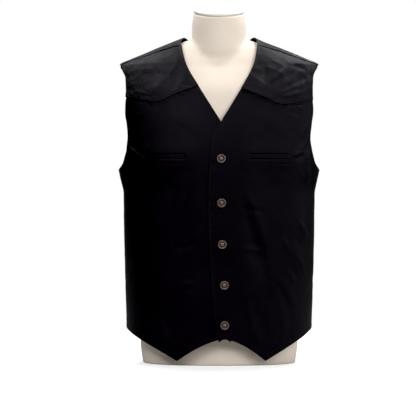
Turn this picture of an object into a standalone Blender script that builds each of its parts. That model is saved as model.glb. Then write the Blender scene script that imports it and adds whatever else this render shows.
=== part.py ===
"""A western-cut button vest of black canvas, worn by a limbless dress form.

Metres, +Z up. The front faces -Y and the wearer's left is at +X. The origin is on the form's flat base. The
vest is one body surface, given by level sections from hem to neck. Each cut piece is a patch of that surface
between its own seams and edges, with the thickness of the cloth.
"""

import math
from collections import namedtuple

import bmesh
import bpy
import numpy as np
from mathutils import Vector

MM = 0.001

# Cloth and seams
CLOTH = 2.0 * MM
SEAM_GAP = 0.3 * MM
YOKE_LIFT = 0.8 * MM  # the yoke laps over the front at its seam
OVERLAP_LIFT = 2.5 * MM  # the left front lies on the right one
OVERLAP_FULL_X = 40 * MM
OVERLAP_END_X = 105 * MM
OVERLAP_FULL_Z = 535 * MM
OVERLAP_END_Z = 590 * MM

# Level sections, in millimetres: half width, then where the front, the back and the side line lie in Y
Section = namedtuple("Section", "height half_width front back side")
ROUNDNESS = 2.3  # exponent of the sections: 2 is an ellipse, more is squarer
VEST_SECTIONS = (
    Section(0, 203, -112, 119, 5),
    Section(80, 206, -115, 120, 5),
    Section(180, 209, -120, 118, 5),
    Section(300, 212, -126, 120, 5),
    Section(375, 213, -129, 125, 6),
    Section(428, 223, -130, 130, 8),
    Section(470, 227, -129, 134, 10),
    Section(520, 229, -124, 136, 12),
    Section(590, 235, -104, 130, 13),
    Section(643, 238, -73, 115, 15),
    Section(660, 233, -61, 104, 15),
    Section(672, 208, -53, 96, 15),
    Section(685, 177, -43, 88, 15),
    Section(707, 122, -26, 66, 15),
    Section(721, 87, -15, 44, 14),
    Section(732, 57, -5, 34, 14),
    Section(753, 4, 9, 19, 14),
)
FORM_SECTIONS = (
    Section(0, 170, -82, 112, 12),
    Section(40, 175, -87, 116, 12),
    Section(120, 177, -92, 117, 12),
    Section(210, 168, -98, 108, 10),
    Section(290, 164, -105, 106, 8),
    Section(380, 173, -114, 114, 8),
    Section(450, 184, -118, 122, 10),
    Section(520, 188, -112, 126, 12),
    Section(590, 190, -94, 121, 13),
    Section(643, 189, -65, 107, 15),
    Section(658, 186, -53, 96, 15),
    Section(672, 178, -44, 88, 15),
    Section(681, 169, -38, 82, 15),
    Section(687.5, 160, -33, 77, 15),
    Section(696.5, 141, -27, 69, 15),
    Section(704, 121, -21, 60, 15),
    Section(716, 77, -9, 36, 15),
    Section(730, 36, 4, 24, 14),
)

# Neck of the form: an oval that leans forward and ends in a sloped cut under the cap
NeckSection = namedtuple("NeckSection", "height half_width front_reach back_reach middle slope")
NECK_SECTIONS = (
    NeckSection(600, 62, 68, 48, 15, 0.0),
    NeckSection(697, 61, 65, 48, 15, 0.0),
    NeckSection(730, 61, 62, 50, 13, 0.10),
    NeckSection(755, 60, 59, 54, 10, 0.22),
    NeckSection(780, 56, 56, 56, 7, 0.287),
)
NECK_BLEND = 15  # sharpness of the fillet between neck and shoulders

# The neck's cap, a low domed plate, in millimetres
ProfilePoint = namedtuple("ProfilePoint", "radius rise")
CAP_PROFILE = (
    ProfilePoint(0.0, 10.0),
    ProfilePoint(27.8, 9.25),
    ProfilePoint(44.0, 8.2),
    ProfilePoint(51.3, 7.3),
    ProfilePoint(54.7, 6.2),
    ProfilePoint(55.5, 4.1),
    ProfilePoint(55.5, 0.0),
    ProfilePoint(0.0, 0.0),
)

# Edges of the left front, in millimetres: where its free edge and the V neck run
EdgePoint = namedtuple("EdgePoint", "height x")
FRONT_EDGE = (
    EdgePoint(53, -1.5),
    EdgePoint(81, -6),
    EdgePoint(139, -13.5),
    EdgePoint(221, -19),
    EdgePoint(300, -23),
    EdgePoint(372, -23),
    EdgePoint(432, -21),
    EdgePoint(490, -15),
    EdgePoint(524, 0),
    EdgePoint(557, 19.5),
    EdgePoint(607, 48.5),
    EdgePoint(666, 77),
    EdgePoint(722, 87),
)
# The line of the buttons, which leans a little to the wearer's left towards the hem
CENTRE_FRONT = (
    EdgePoint(50, 11.5),
    EdgePoint(180, 10.5),
    EdgePoint(265, 6),
    EdgePoint(355, 4.7),
    EdgePoint(450, 3.9),
    EdgePoint(560, 3.2),
    EdgePoint(722, 0),
)

# Hem: two points in front, level at the sides and across the back
HEM_POINT_X = {"left": 100 * MM, "right": 92 * MM}
HEM_POINT_Z = 12 * MM
HEM_PEAK_Z = 60 * MM
HEM_CORNER_Z = 53 * MM
HEM_SIDE_Z = 80 * MM
HEM_BACK_Z = 76 * MM
HEM_INNER_CURVE = 1.6
HEM_OUTER_CURVE = 1.9

# Front yoke seam, in millimetres: it dips to a soft point between neck and armhole
SeamPoint = namedtuple("SeamPoint", "x height")
YOKE_SEAM = (
    SeamPoint(40, 612),
    SeamPoint(101, 587),
    SeamPoint(120, 578),
    SeamPoint(138, 574),
    SeamPoint(163, 577.5),
    SeamPoint(188, 584),
    SeamPoint(215, 587),
)
YOKE_SHIFT_Z = {"left": -3 * MM, "right": 3 * MM}

# Armhole, an egg seen from the side: how far its edge runs in front of the side line and behind it
ArmholePoint = namedtuple("ArmholePoint", "height front_reach back_reach")
ARMHOLE = (
    ArmholePoint(428, 0, 0),
    ArmholePoint(441, 55, 38),
    ArmholePoint(456, 66, 54),
    ArmholePoint(476, 74, 64),
    ArmholePoint(500, 76, 70),
    ArmholePoint(528, 73, 73.5),
    ArmholePoint(550, 69, 74),
    ArmholePoint(590, 66, 71),
    ArmholePoint(627, 56, 61),
    ArmholePoint(653, 40, 44),
    ArmholePoint(666.5, 20, 22),
    ArmholePoint(671.5, 0, 0),
)
UNDERARM_Z = ARMHOLE[0].height * MM
SHOULDER_TIP_Z = ARMHOLE[-1].height * MM

# Shoulder and neck of the back
SHOULDER_FORWARD = 34 * MM  # the shoulder seam lies this far in front of the ridge
BACK_NECK_Z = 700 * MM
BACK_SPLIT_Z = 600 * MM

# Ranges in which seams are looked for
SHOULDER_SEAM_RANGE = (640 * MM, 721 * MM)
NECK_POINT_RANGE = (675 * MM, 721 * MM)
RIDGE_RANGE = (655 * MM, 753 * MM)
YOKE_NECK_RANGE = (560 * MM, 660 * MM)
YOKE_ARMHOLE_RANGE = (1.2, 2.4)  # angles round the armhole
TIP_ANGLE_RANGE = (2.0, math.pi)
HALVINGS = 50

# Largest folds, in millimetres and degrees: a soft trough (negative height) or ridge, lean from upright
Fold = namedtuple("Fold", "x height lean length width rise")
FRONT_FOLDS = {
    "left": (
        Fold(66, 292, -17, 190, 20, -2.4),
        Fold(92, 300, -15, 170, 20, 1.6),
        Fold(181, 296, -14, 90, 13, 2.2),
        Fold(176, 215, -17, 110, 14, 2.0),
        Fold(132, 642, 42, 60, 11, 1.8),
        Fold(163, 639, 47, 55, 10, -1.6),
        Fold(190, 492, 24, 40, 10, -2.6),
    ),
    "right": (
        Fold(70, 330, -12, 220, 24, -1.8),
        Fold(172, 270, -9, 180, 18, 2.0),
        Fold(150, 640, 38, 55, 12, -1.4),
        Fold(120, 150, -24, 120, 18, 1.6),
    ),
}
FOLDS_START_X = 28 * MM  # the overlap in the middle hangs flat
FOLDS_FULL_X = 75 * MM
BACK_FOLDS = (
    Fold(-92, 330, -6, 260, 22, 2.4),
    Fold(-60, 250, 4, 200, 20, -2.0),
    Fold(74, 310, 5, 280, 24, 2.2),
    Fold(118, 220, -4, 180, 20, -2.0),
    Fold(10, 200, 2, 170, 26, 1.8),
)

# Chest pocket welts
WELT_INNER_X = {"left": 62 * MM, "right": 71 * MM}
WELT_LENGTH = 95 * MM
WELT_HEIGHT = 10 * MM
WELT_BOTTOM_Z = 450 * MM
WELT_THICK = 1.3 * MM

# Tack buttons
BUTTON_HEIGHTS = (450, 355, 265.5, 177.5, 90.5)
BUTTON_SEAT_GAP = 0.35 * MM
BUTTON_PROFILE = (
    ProfilePoint(0.0, 3.3),
    ProfilePoint(2.6, 3.0),
    ProfilePoint(4.4, 2.1),
    ProfilePoint(5.6, 2.0),
    ProfilePoint(6.8, 3.0),
    ProfilePoint(8.4, 3.3),
    ProfilePoint(9.7, 2.4),
    ProfilePoint(9.8, 1.2),
    ProfilePoint(8.6, 0.0),
    ProfilePoint(0.0, 0.0),
)

# Mesh fineness
FRONT_COLUMNS = (6, 8)  # inside and outside the hem point
FRONT_ROWS = (11, 8)  # below and above the underarm
YOKE_COLUMNS, YOKE_ROWS = 14, 6
BACK_HALF_COLUMNS = (6, 14)  # at the neck and at the shoulder
BACK_NECK_SHARE = 0.4  # of the half width
BACK_ROWS = (11, 5, 11)  # to the underarm, to the split, over the shoulder
WELT_COLUMNS, WELT_ROWS = 9, 1
FORM_SIDES = 52
FORM_RING_STOPS = (0, 600, 658, 697, 730, 780)  # millimetres; the rings lie closer over the shoulders
FORM_RING_STEPS = (12, 4, 5, 7, 4)
BUTTON_STEPS, CAP_STEPS = 18, 40
SHOULDER_SAMPLES = 60
NORMAL_STEP_TURN, NORMAL_STEP_Z = 1e-3, 0.3 * MM
MERGE_DISTANCE = 0.1 * MM
ROUNDED = 7  # decimals that tell two points apart
SHARP_ANGLE = math.radians(40)

Finish = namedtuple("Finish", "colour roughness metallic")
BLACK_CANVAS = Finish((0.012, 0.011, 0.014, 1.0), 0.85, 0.0)
ANTIQUE_METAL = Finish((0.33, 0.28, 0.25, 1.0), 0.42, 0.9)
CREAM_JERSEY = Finish((0.77, 0.67, 0.57, 1.0), 0.9, 0.0)
PALE_CAP = Finish((0.86, 0.83, 0.74, 1.0), 0.6, 0.0)


# Curves and sections

def monotone(knots, values, at):
    """Smooth curve through a table's values that never overshoots them."""
    knots = np.asarray(knots, float)
    values = np.asarray(values, float)
    step = np.diff(knots)
    slope = np.diff(values) / step
    tangent = np.empty_like(values)
    tangent[0], tangent[-1] = slope[0], slope[-1]
    before, after = slope[:-1], slope[1:]
    same_sense = before * after > 0
    weight_before = 2 * step[1:] + step[:-1]
    weight_after = step[1:] + 2 * step[:-1]
    safe_before = np.where(same_sense, before, 1.0)
    safe_after = np.where(same_sense, after, 1.0)
    mean = (weight_before + weight_after) / (weight_before / safe_before + weight_after / safe_after)
    tangent[1:-1] = np.where(same_sense, mean, 0.0)
    index = np.clip(np.searchsorted(knots, at) - 1, 0, len(step) - 1)
    u = (np.asarray(at, float) - knots[index]) / step[index]
    return (
        values[index] * (1 + 2 * u) * (1 - u) ** 2
        + tangent[index] * step[index] * u * (1 - u) ** 2
        + values[index + 1] * u * u * (3 - 2 * u)
        + tangent[index + 1] * step[index] * u * u * (u - 1)
    )


def column(table, key, name, at):
    """One column of a millimetre table, read in metres at the given values of its key column."""
    knots = [getattr(row, key) * MM for row in table]
    values = [getattr(row, name) * MM for row in table]
    return monotone(knots, values, at)


def soft_step(value, start, end):
    """0 at start and 1 at end, with level ends."""
    t = np.clip((value - start) / (end - start), 0.0, 1.0)
    return t * t * (3 - 2 * t)


def vest_section(z):
    """Half width, front reach, back reach and side line of the vest at these heights."""
    half_width, front, back, side = (
        column(VEST_SECTIONS, "height", name, z) for name in ("half_width", "front", "back", "side")
    )
    return half_width, side - front, back - side, side


def across_share(share):
    """The other coordinate of a section of unit half sizes, for one given as a share of its half size."""
    return (1 - np.clip(np.abs(share), 0, 1) ** ROUNDNESS) ** (1 / ROUNDNESS)


def turn_at_x(x, z):
    """Turn round the section, from the middle of the front, where the front of the vest is at this x."""
    share = x / vest_section(z)[0]
    return np.arctan2(share, across_share(share))


def turn_at_reach(reach, z):
    """Turn where the front (reach above 0) or the back lies this far from the side line."""
    _, front_reach, back_reach, _ = vest_section(z)
    share = np.where(reach >= 0, reach / front_reach, reach / back_reach)
    return np.arctan2(across_share(share), share)


def vest_surface(turn, z):
    """Point of the plain body surface at a turn round the section and a height."""
    half_width, front_reach, back_reach, side = vest_section(z)
    sine, cosine = np.sin(turn), np.cos(turn)
    size = (np.abs(sine) ** ROUNDNESS + np.abs(cosine) ** ROUNDNESS) ** (-1 / ROUNDNESS)
    reach = np.where(cosine >= 0, front_reach, back_reach)
    return np.stack([half_width * sine * size, side - reach * cosine * size, z + 0 * turn], axis=-1)


def vest_normal(turn, z):
    """Outward direction of the body surface."""
    along = vest_surface(turn + NORMAL_STEP_TURN, z) - vest_surface(turn - NORMAL_STEP_TURN, z)
    up = vest_surface(turn, z + NORMAL_STEP_Z) - vest_surface(turn, z - NORMAL_STEP_Z)
    normal = np.cross(along, up)
    return normal / np.linalg.norm(normal, axis=-1, keepdims=True)


def fold_rise(folds, x, z):
    """Height of the folds at a place on a panel."""
    rise = np.zeros(np.broadcast(x, z).shape)
    for fold in folds:
        lean = math.radians(fold.lean)
        right, up = x - fold.x * MM, z - fold.height * MM
        across = right * math.cos(lean) - up * math.sin(lean)
        along = right * math.sin(lean) + up * math.cos(lean)
        spread = (across / (fold.width * MM)) ** 2 + (along / (0.5 * fold.length * MM)) ** 2
        rise = rise + fold.rise * MM * np.exp(-spread)
    return rise


# Patches

def patch_between(left, right, bottom, top):
    """Grid of points between four edge curves that share their corners."""
    u = np.linspace(0, 1, len(bottom))[None, :, None]
    v = np.linspace(0, 1, len(left))[:, None, None]
    sides = (1 - u) * left[:, None] + u * right[:, None]
    ends = (1 - v) * bottom[None, :] + v * top[None, :]
    low = (1 - u) * bottom[0] + u * bottom[-1]
    high = (1 - u) * top[0] + u * top[-1]
    return sides + ends - ((1 - v) * low + v * high)


def steps_through(stops, counts):
    """Evenly stepped values from stop to stop, with so many steps between each two."""
    runs = [np.linspace(a, b, n, endpoint=False) for a, b, n in zip(stops, stops[1:], counts)]
    return np.concatenate(runs + [np.array(stops[-1:], float)])


def armhole_angle_at(z):
    """Angle round the armhole at a height: 0 is the underarm, pi the shoulder tip."""
    middle = 0.5 * (UNDERARM_Z + SHOULDER_TIP_Z)
    cosine = (middle - z) / (0.5 * (SHOULDER_TIP_Z - UNDERARM_Z))
    return float(np.arccos(np.clip(cosine, -1.0, 1.0)))


ARMHOLE_ANGLES = [armhole_angle_at(point.height * MM) for point in ARMHOLE]


def armhole_reach(angle, front):
    """How far the armhole's edge runs in front of the side line, or behind it."""
    name = "front_reach" if front else "back_reach"
    return monotone(ARMHOLE_ANGLES, [getattr(point, name) * MM for point in ARMHOLE], angle)


def armhole_edge(angle, front):
    """Turn and height along the armhole's edge."""
    middle = 0.5 * (UNDERARM_Z + SHOULDER_TIP_Z)
    z = middle - 0.5 * (SHOULDER_TIP_Z - UNDERARM_Z) * np.cos(angle)
    reach = armhole_reach(angle, front)
    return turn_at_reach(reach if front else -reach, z), z


def armhole_tip_angle(forward):
    """Angle near the shoulder tip where the front edge is this far in front of the side line."""
    return halved(lambda angle: armhole_reach(angle, True) - forward, *TIP_ANGLE_RANGE)


def halved(function, low, high):
    """Where a falling function crosses zero, by halving."""
    for _ in range(HALVINGS):
        middle = 0.5 * (low + high)
        low, high = (middle, high) if function(middle) > 0 else (low, middle)
    return 0.5 * (low + high)


def shoulder_seam_z(x, forward):
    """Height of the line that runs a set distance in front of the shoulder's ridge."""
    def outside(z):
        half_width, front_reach, _, _ = vest_section(z)
        return half_width * across_share(forward / front_reach) - x
    return halved(outside, *SHOULDER_SEAM_RANGE)


def neck_point_z(side, forward):
    """Height where the shoulder seam meets the neck edge."""
    return halved(lambda z: shoulder_seam_z(float(front_edge_x(z, side)), forward) - z, *NECK_POINT_RANGE)


def front_edge_x(z, side):
    """Free edge and neck edge of a front, in its own mirrored x."""
    x = column(FRONT_EDGE, "height", "x", z)
    if side == "left":
        return x
    return x - 2 * column(CENTRE_FRONT, "height", "x", z)


def yoke_seam_z(x, side):
    return column(YOKE_SEAM, "x", "height", x) + YOKE_SHIFT_Z[side]


def yoke_neck_z(side):
    """Height where the yoke seam meets the neck edge."""
    return halved(lambda z: yoke_seam_z(front_edge_x(z, side), side) - z, *YOKE_NECK_RANGE)


def yoke_armhole_angle(side):
    """Angle on the armhole's edge where the yoke seam ends."""
    def above(angle):
        turn, z = armhole_edge(angle, True)
        return yoke_seam_z(vest_surface(turn, z)[0], side) - z
    return halved(above, *YOKE_ARMHOLE_RANGE)


def overlap_rise(x, z, side):
    """The left front lies on the right one near the middle."""
    if side == "right":
        return np.zeros(np.broadcast(x, z).shape)
    near = soft_step(x, OVERLAP_END_X, OVERLAP_FULL_X)
    return OVERLAP_LIFT * near * soft_step(z, OVERLAP_END_Z, OVERLAP_FULL_Z)


def inner_hem_z(x, side):
    """Height of a front's hem, from its corner over the peak to the point."""
    point_x = HEM_POINT_X[side]
    peak_x = column(CENTRE_FRONT, "height", "x", HEM_PEAK_Z) * (1 if side == "left" else -1)
    corner_x = front_edge_x(HEM_CORNER_Z, side)
    inward = np.clip((point_x - x) / (point_x - peak_x), 0, 1)
    past_peak = np.clip((peak_x - x) / (peak_x - corner_x), 0, 1)
    rise = (HEM_PEAK_Z - HEM_POINT_Z) * (1 - (1 - inward) ** HEM_INNER_CURVE)
    return HEM_POINT_Z + rise - (HEM_PEAK_Z - HEM_CORNER_Z) * past_peak**2


def outer_hem_z(share):
    """Height of a front's hem, at a share of the way from its point to the side seam."""
    return HEM_POINT_Z + (HEM_SIDE_Z - HEM_POINT_Z) * (1 - (1 - share) ** HEM_OUTER_CURVE)


def front_hem(side):
    """Turn and height along the hem, from the front edge to the side seam."""
    corner_x = float(front_edge_x(HEM_CORNER_Z, side))
    inner_x = np.linspace(corner_x, HEM_POINT_X[side], FRONT_COLUMNS[0] + 1)
    inner_z = inner_hem_z(inner_x, side)
    inner = np.stack([turn_at_x(inner_x, inner_z), inner_z], axis=-1)
    side_turn = math.pi / 2 - 0.5 * SEAM_GAP / vest_section(HEM_SIDE_Z)[0]
    share = np.linspace(0, 1, FRONT_COLUMNS[1] + 1)[1:]
    outer_turn = inner[-1, 0] + (side_turn - inner[-1, 0]) * share
    return np.concatenate([inner, np.stack([outer_turn, outer_hem_z(share)], axis=-1)])


def front_places(side):
    """Turns and heights of a front's grid, in its own mirrored half."""
    hem = front_hem(side)
    rows = sum(FRONT_ROWS)
    neck_z = yoke_neck_z(side) - 0.5 * SEAM_GAP
    left_z = steps_through((hem[0, 1], UNDERARM_Z, neck_z), FRONT_ROWS)
    left = np.stack([turn_at_x(front_edge_x(left_z, side), left_z), left_z], axis=-1)
    left[0] = hem[0]
    side_z = np.linspace(hem[-1, 1], UNDERARM_Z, FRONT_ROWS[0] + 1)
    side_seam = np.stack([math.pi / 2 - 0.5 * SEAM_GAP / vest_section(side_z)[0], side_z], axis=-1)
    angles = np.linspace(0, yoke_armhole_angle(side), FRONT_ROWS[1] + 1)[1:]
    armhole = np.stack(armhole_edge(angles, True), axis=-1)
    armhole[-1, 1] -= 0.5 * SEAM_GAP
    right = np.concatenate([side_seam, armhole])
    top_x = np.linspace(
        float(front_edge_x(neck_z, side)), vest_surface(*armhole[-1])[0], sum(FRONT_COLUMNS) + 1
    )
    top_z = yoke_seam_z(top_x, side) - 0.5 * SEAM_GAP
    top = np.stack([turn_at_x(top_x, top_z), top_z], axis=-1)
    top[0], top[-1] = left[rows], right[rows]
    return patch_between(left, right, hem, top)


def yoke_places(side):
    """Turns and heights of a front yoke's grid, worked out in the front view and then turned on."""
    half_gap = 0.5 * SEAM_GAP
    low_z = yoke_neck_z(side) + half_gap
    tip_forward = SHOULDER_FORWARD + half_gap
    left_z = np.linspace(low_z, neck_point_z(side, tip_forward), YOKE_ROWS + 1)
    left = np.stack([front_edge_x(left_z, side), left_z], axis=-1)
    angles = np.linspace(yoke_armhole_angle(side), armhole_tip_angle(tip_forward), YOKE_ROWS + 1)
    edge_turn, edge_z = armhole_edge(angles, True)
    right = np.stack([vest_surface(edge_turn, edge_z)[:, 0], edge_z], axis=-1)
    right[0, 1] += half_gap
    low_x = np.linspace(left[0, 0], right[0, 0], YOKE_COLUMNS + 1)
    bottom = np.stack([low_x, yoke_seam_z(low_x, side) + half_gap], axis=-1)
    high_x = np.linspace(left[-1, 0], right[-1, 0], YOKE_COLUMNS + 1)
    top = np.stack([high_x, [shoulder_seam_z(x, tip_forward) for x in high_x]], axis=-1)
    bottom[0], bottom[-1] = left[0], right[0]
    top[0], top[-1] = left[-1], right[-1]
    grid = patch_between(left, right, bottom, top)
    return np.stack([turn_at_x(grid[..., 0], grid[..., 1]), grid[..., 1]], axis=-1)


def over_shoulder(x):
    """Length, turn and height along the upright cut at x: up the back from the split, and down the front."""
    ridge = halved(lambda z: vest_section(z)[0] - x, *RIDGE_RANGE)
    swing = np.linspace(0, math.pi / 2, SHOULDER_SAMPLES)
    back_z = BACK_SPLIT_Z + (ridge - BACK_SPLIT_Z) * np.sin(swing)
    front_z = back_z[::-1][1:]
    front_turn = turn_at_x(x, front_z)
    turn = np.concatenate([math.pi - turn_at_x(x, back_z), front_turn])
    z = np.concatenate([back_z, front_z])
    points = vest_surface(turn, z)
    steps = np.linalg.norm(np.diff(points, axis=0), axis=1)
    return np.concatenate([[0.0], np.cumsum(steps)]), turn, z


def length_over_shoulder(x, z, in_front):
    """Length along the upright cut at x to this height, behind the ridge or in front of it."""
    length, _, heights = over_shoulder(x)
    top = SHOULDER_SAMPLES - 1
    if in_front:
        return float(np.interp(-z, -heights[top:], length[top:]))
    return float(np.interp(z, heights[: top + 1], length[: top + 1]))


def back_lower_places():
    """Turns and heights of the back's right-hand half, from the hem to the split."""
    rows = BACK_ROWS[0] + BACK_ROWS[1]
    middle_z = np.linspace(HEM_BACK_Z, BACK_SPLIT_Z, rows + 1)
    side_z = np.linspace(HEM_SIDE_Z, UNDERARM_Z, BACK_ROWS[0] + 1)
    side_turn = math.pi / 2 + 0.5 * SEAM_GAP / vest_section(side_z)[0]
    angles = np.linspace(0, armhole_angle_at(BACK_SPLIT_Z), BACK_ROWS[1] + 1)[1:]
    edge = np.concatenate(
        [np.stack([side_turn, side_z], axis=-1), np.stack(armhole_edge(angles, False), axis=-1)]
    )
    share = steps_through((0.0, BACK_NECK_SHARE, 1.0), BACK_HALF_COLUMNS)
    split_x = vest_surface(*edge[-1])[0] * share
    split_turn = math.pi - turn_at_x(split_x, BACK_SPLIT_Z)
    height = np.linspace(0, 1, rows + 1)[:, None] ** 2
    even = math.pi + (edge[:, :1] - math.pi) * share
    bent = math.pi + (edge[:, :1] - math.pi) * (math.pi - split_turn) / (math.pi - split_turn[-1])
    turn = (1 - height) * even + height * bent
    z = middle_z[:, None] + (edge[:, 1:] - middle_z[:, None]) * share**2
    return np.stack([turn, z], axis=-1)


def back_upper_places(split_row):
    """Turns and heights from the split over the shoulder to the shoulder seam."""
    forward = SHOULDER_FORWARD - 0.5 * SEAM_GAP
    split_x = vest_surface(split_row[:, 0], split_row[:, 1])[:, 0]
    bottom = np.stack([split_x, np.zeros_like(split_x)], axis=-1)
    past_tip_angle = 2 * math.pi - armhole_tip_angle(forward)
    sweep = np.linspace(armhole_angle_at(BACK_SPLIT_Z), past_tip_angle, BACK_ROWS[2] + 1)
    right = []
    for angle in sweep:
        past_tip = angle > math.pi
        turn, z = armhole_edge(2 * math.pi - angle if past_tip else angle, past_tip)
        x = vest_surface(turn, z)[0]
        right.append((x, length_over_shoulder(x, z, past_tip)))
    right = np.array(right)
    right[0] = bottom[-1]
    middle_length = length_over_shoulder(0.0, BACK_NECK_Z, False)
    left = np.stack([np.zeros(BACK_ROWS[2] + 1), np.linspace(0, middle_length, BACK_ROWS[2] + 1)], axis=-1)
    neck_z = neck_point_z("left", forward)
    neck_x = float(front_edge_x(neck_z, "left"))
    neck_length = length_over_shoulder(neck_x, neck_z, True)
    swing = np.linspace(0, math.pi / 2, BACK_HALF_COLUMNS[0] + 1)
    neck = np.stack(
        [neck_x * np.sin(swing), neck_length - (neck_length - middle_length) * np.cos(swing)], axis=-1
    )
    seam_x = np.linspace(neck_x, right[-1, 0], BACK_HALF_COLUMNS[1] + 1)[1:]
    seam = [(x, length_over_shoulder(x, shoulder_seam_z(x, forward), True)) for x in seam_x]
    top = np.concatenate([neck, np.array(seam)])
    top[-1] = right[-1]
    grid = patch_between(left, right, bottom, top)
    places = np.empty_like(grid)
    for row, col in np.ndindex(grid.shape[:2]):
        x, run = grid[row, col]
        length, turn, z = over_shoulder(x)
        places[row, col] = np.interp(run, length, turn), np.interp(run, length, z)
    return places


def back_places():
    """Turns and heights of the whole back, from the wearer's right to the left."""
    lower = back_lower_places()
    half = np.concatenate([lower, back_upper_places(lower[-1])[1:]])
    mirrored = half[:, :0:-1].copy()
    mirrored[..., 0] = 2 * math.pi - mirrored[..., 0]
    return np.concatenate([mirrored, half], axis=1)


# Objects

def clear_scene():
    for obj in list(bpy.data.objects):
        bpy.data.objects.remove(obj)


def finish_material(name, finish):
    material = bpy.data.materials.new(name)
    material.use_nodes = True
    shader = material.node_tree.nodes["Principled BSDF"]
    shader.inputs["Base Color"].default_value = finish.colour
    shader.inputs["Roughness"].default_value = finish.roughness
    shader.inputs["Metallic"].default_value = finish.metallic
    return material


def add_object(name, mesh, finish, collection):
    """One named piece with its own material, shaded smooth over its soft edges."""
    mesh.shade_smooth()
    mesh.set_sharp_from_angle(angle=SHARP_ANGLE)
    mesh.materials.append(finish_material(name + "_finish", finish))
    obj = bpy.data.objects.new(name, mesh)
    collection.objects.link(obj)
    return obj


def wall_mesh(name, outer, inner):
    """A closed wall: a grid laid on the outer points, extruded as one region to the inner points."""
    rows, columns = outer.shape[:2]
    bm = bmesh.new()
    bmesh.ops.create_grid(bm, x_segments=columns - 1, y_segments=rows - 1, size=1.0)
    bm.verts.ensure_lookup_table()
    for vert, place in zip(bm.verts, outer.reshape(-1, 3)):
        vert.co = place
    made = bmesh.ops.extrude_face_region(bm, geom=list(bm.faces))
    moved = [item for item in made["geom"] if isinstance(item, bmesh.types.BMVert)]
    flat_outer = outer.reshape(-1, 3).astype(np.float32)
    flat_inner = inner.reshape(-1, 3)
    index = {tuple(np.round(place, ROUNDED)): i for i, place in enumerate(flat_outer)}
    for vert in moved:
        vert.co = flat_inner[index[tuple(np.round(np.array(vert.co, np.float32), ROUNDED))]]
    bmesh.ops.recalc_face_normals(bm, faces=list(bm.faces))
    mesh = bpy.data.meshes.new(name)
    bm.to_mesh(mesh)
    bm.free()
    return mesh


def cloth_points(turn, z, rise, mirrored=False):
    """Points of the body surface moved out by a rise, on the wearer's other side if mirrored."""
    points = vest_surface(turn, z) + vest_normal(turn, z) * np.asarray(rise)[..., None]
    if mirrored:
        points = points * np.array([-1.0, 1.0, 1.0])
    return points


def add_wall(name, places, rise, thickness, finish, collection, mirrored=False):
    turn, z = places[..., 0], places[..., 1]
    outer = cloth_points(turn, z, rise, mirrored)
    inner = cloth_points(turn, z, rise - thickness, mirrored)
    return add_object(name, wall_mesh(name, outer, inner), finish, collection)


def front_rise(turn, z, side):
    x = vest_surface(turn, z)[..., 0]
    clear_of_overlap = soft_step(x, FOLDS_START_X, FOLDS_FULL_X)
    return overlap_rise(x, z, side) + clear_of_overlap * fold_rise(FRONT_FOLDS[side], x, z)


def add_front(side, collection):
    places = front_places(side)
    rise = front_rise(places[..., 0], places[..., 1], side)
    return add_wall("front_" + side, places, rise, CLOTH, BLACK_CANVAS, collection, side == "right")


def add_yoke(side, collection):
    places = yoke_places(side)
    rise = front_rise(places[..., 0], places[..., 1], side) + YOKE_LIFT
    return add_wall("yoke_" + side, places, rise, CLOTH, BLACK_CANVAS, collection, side == "right")


def add_back(collection):
    places = back_places()
    turn, z = places[..., 0], places[..., 1]
    x = vest_surface(turn, z)[..., 0]
    behind = np.cos(turn) < 0
    rise = np.where(behind, fold_rise(BACK_FOLDS, x, z), 0.0)
    return add_wall("back", places, rise, CLOTH, BLACK_CANVAS, collection)


def add_welt(side, collection):
    inner_x = WELT_INNER_X[side]
    x, z = np.meshgrid(
        np.linspace(inner_x, inner_x + WELT_LENGTH, WELT_COLUMNS + 1),
        np.linspace(WELT_BOTTOM_Z, WELT_BOTTOM_Z + WELT_HEIGHT, WELT_ROWS + 1),
    )
    turn = turn_at_x(x, z)
    rise = front_rise(turn, z, side) + SEAM_GAP + WELT_THICK
    places = np.stack([turn, z], axis=-1)
    return add_wall("welt_" + side, places, rise, WELT_THICK, BLACK_CANVAS, collection, side == "right")


def turned_mesh_object(name, profile, steps, finish, collection):
    """A profile of radius and rise, turned round its own Z axis."""
    mesh = bpy.data.meshes.new(name)
    points = [(point.radius * MM, 0.0, point.rise * MM) for point in profile]
    mesh.from_pydata(points, [(i, i + 1) for i in range(len(points) - 1)], [])
    obj = add_object(name, mesh, finish, collection)
    screw = obj.modifiers.new("turn", "SCREW")
    screw.axis = "Z"
    screw.steps = screw.render_steps = steps
    screw.use_merge_vertices = True
    screw.merge_threshold = MERGE_DISTANCE
    screw.use_smooth_shade = True
    return obj


def add_button(number, height, collection):
    z = np.array(height * MM)
    x = column(CENTRE_FRONT, "height", "x", z)
    turn = turn_at_x(x, z)
    rise = front_rise(turn, z, "left") + BUTTON_SEAT_GAP
    button = turned_mesh_object(
        f"button_{number}", BUTTON_PROFILE, BUTTON_STEPS, ANTIQUE_METAL, collection
    )
    button.location = cloth_points(turn, z, rise)
    button.rotation_euler = Vector(vest_normal(turn, z)).to_track_quat("Z", "Y").to_euler()
    return button


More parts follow.
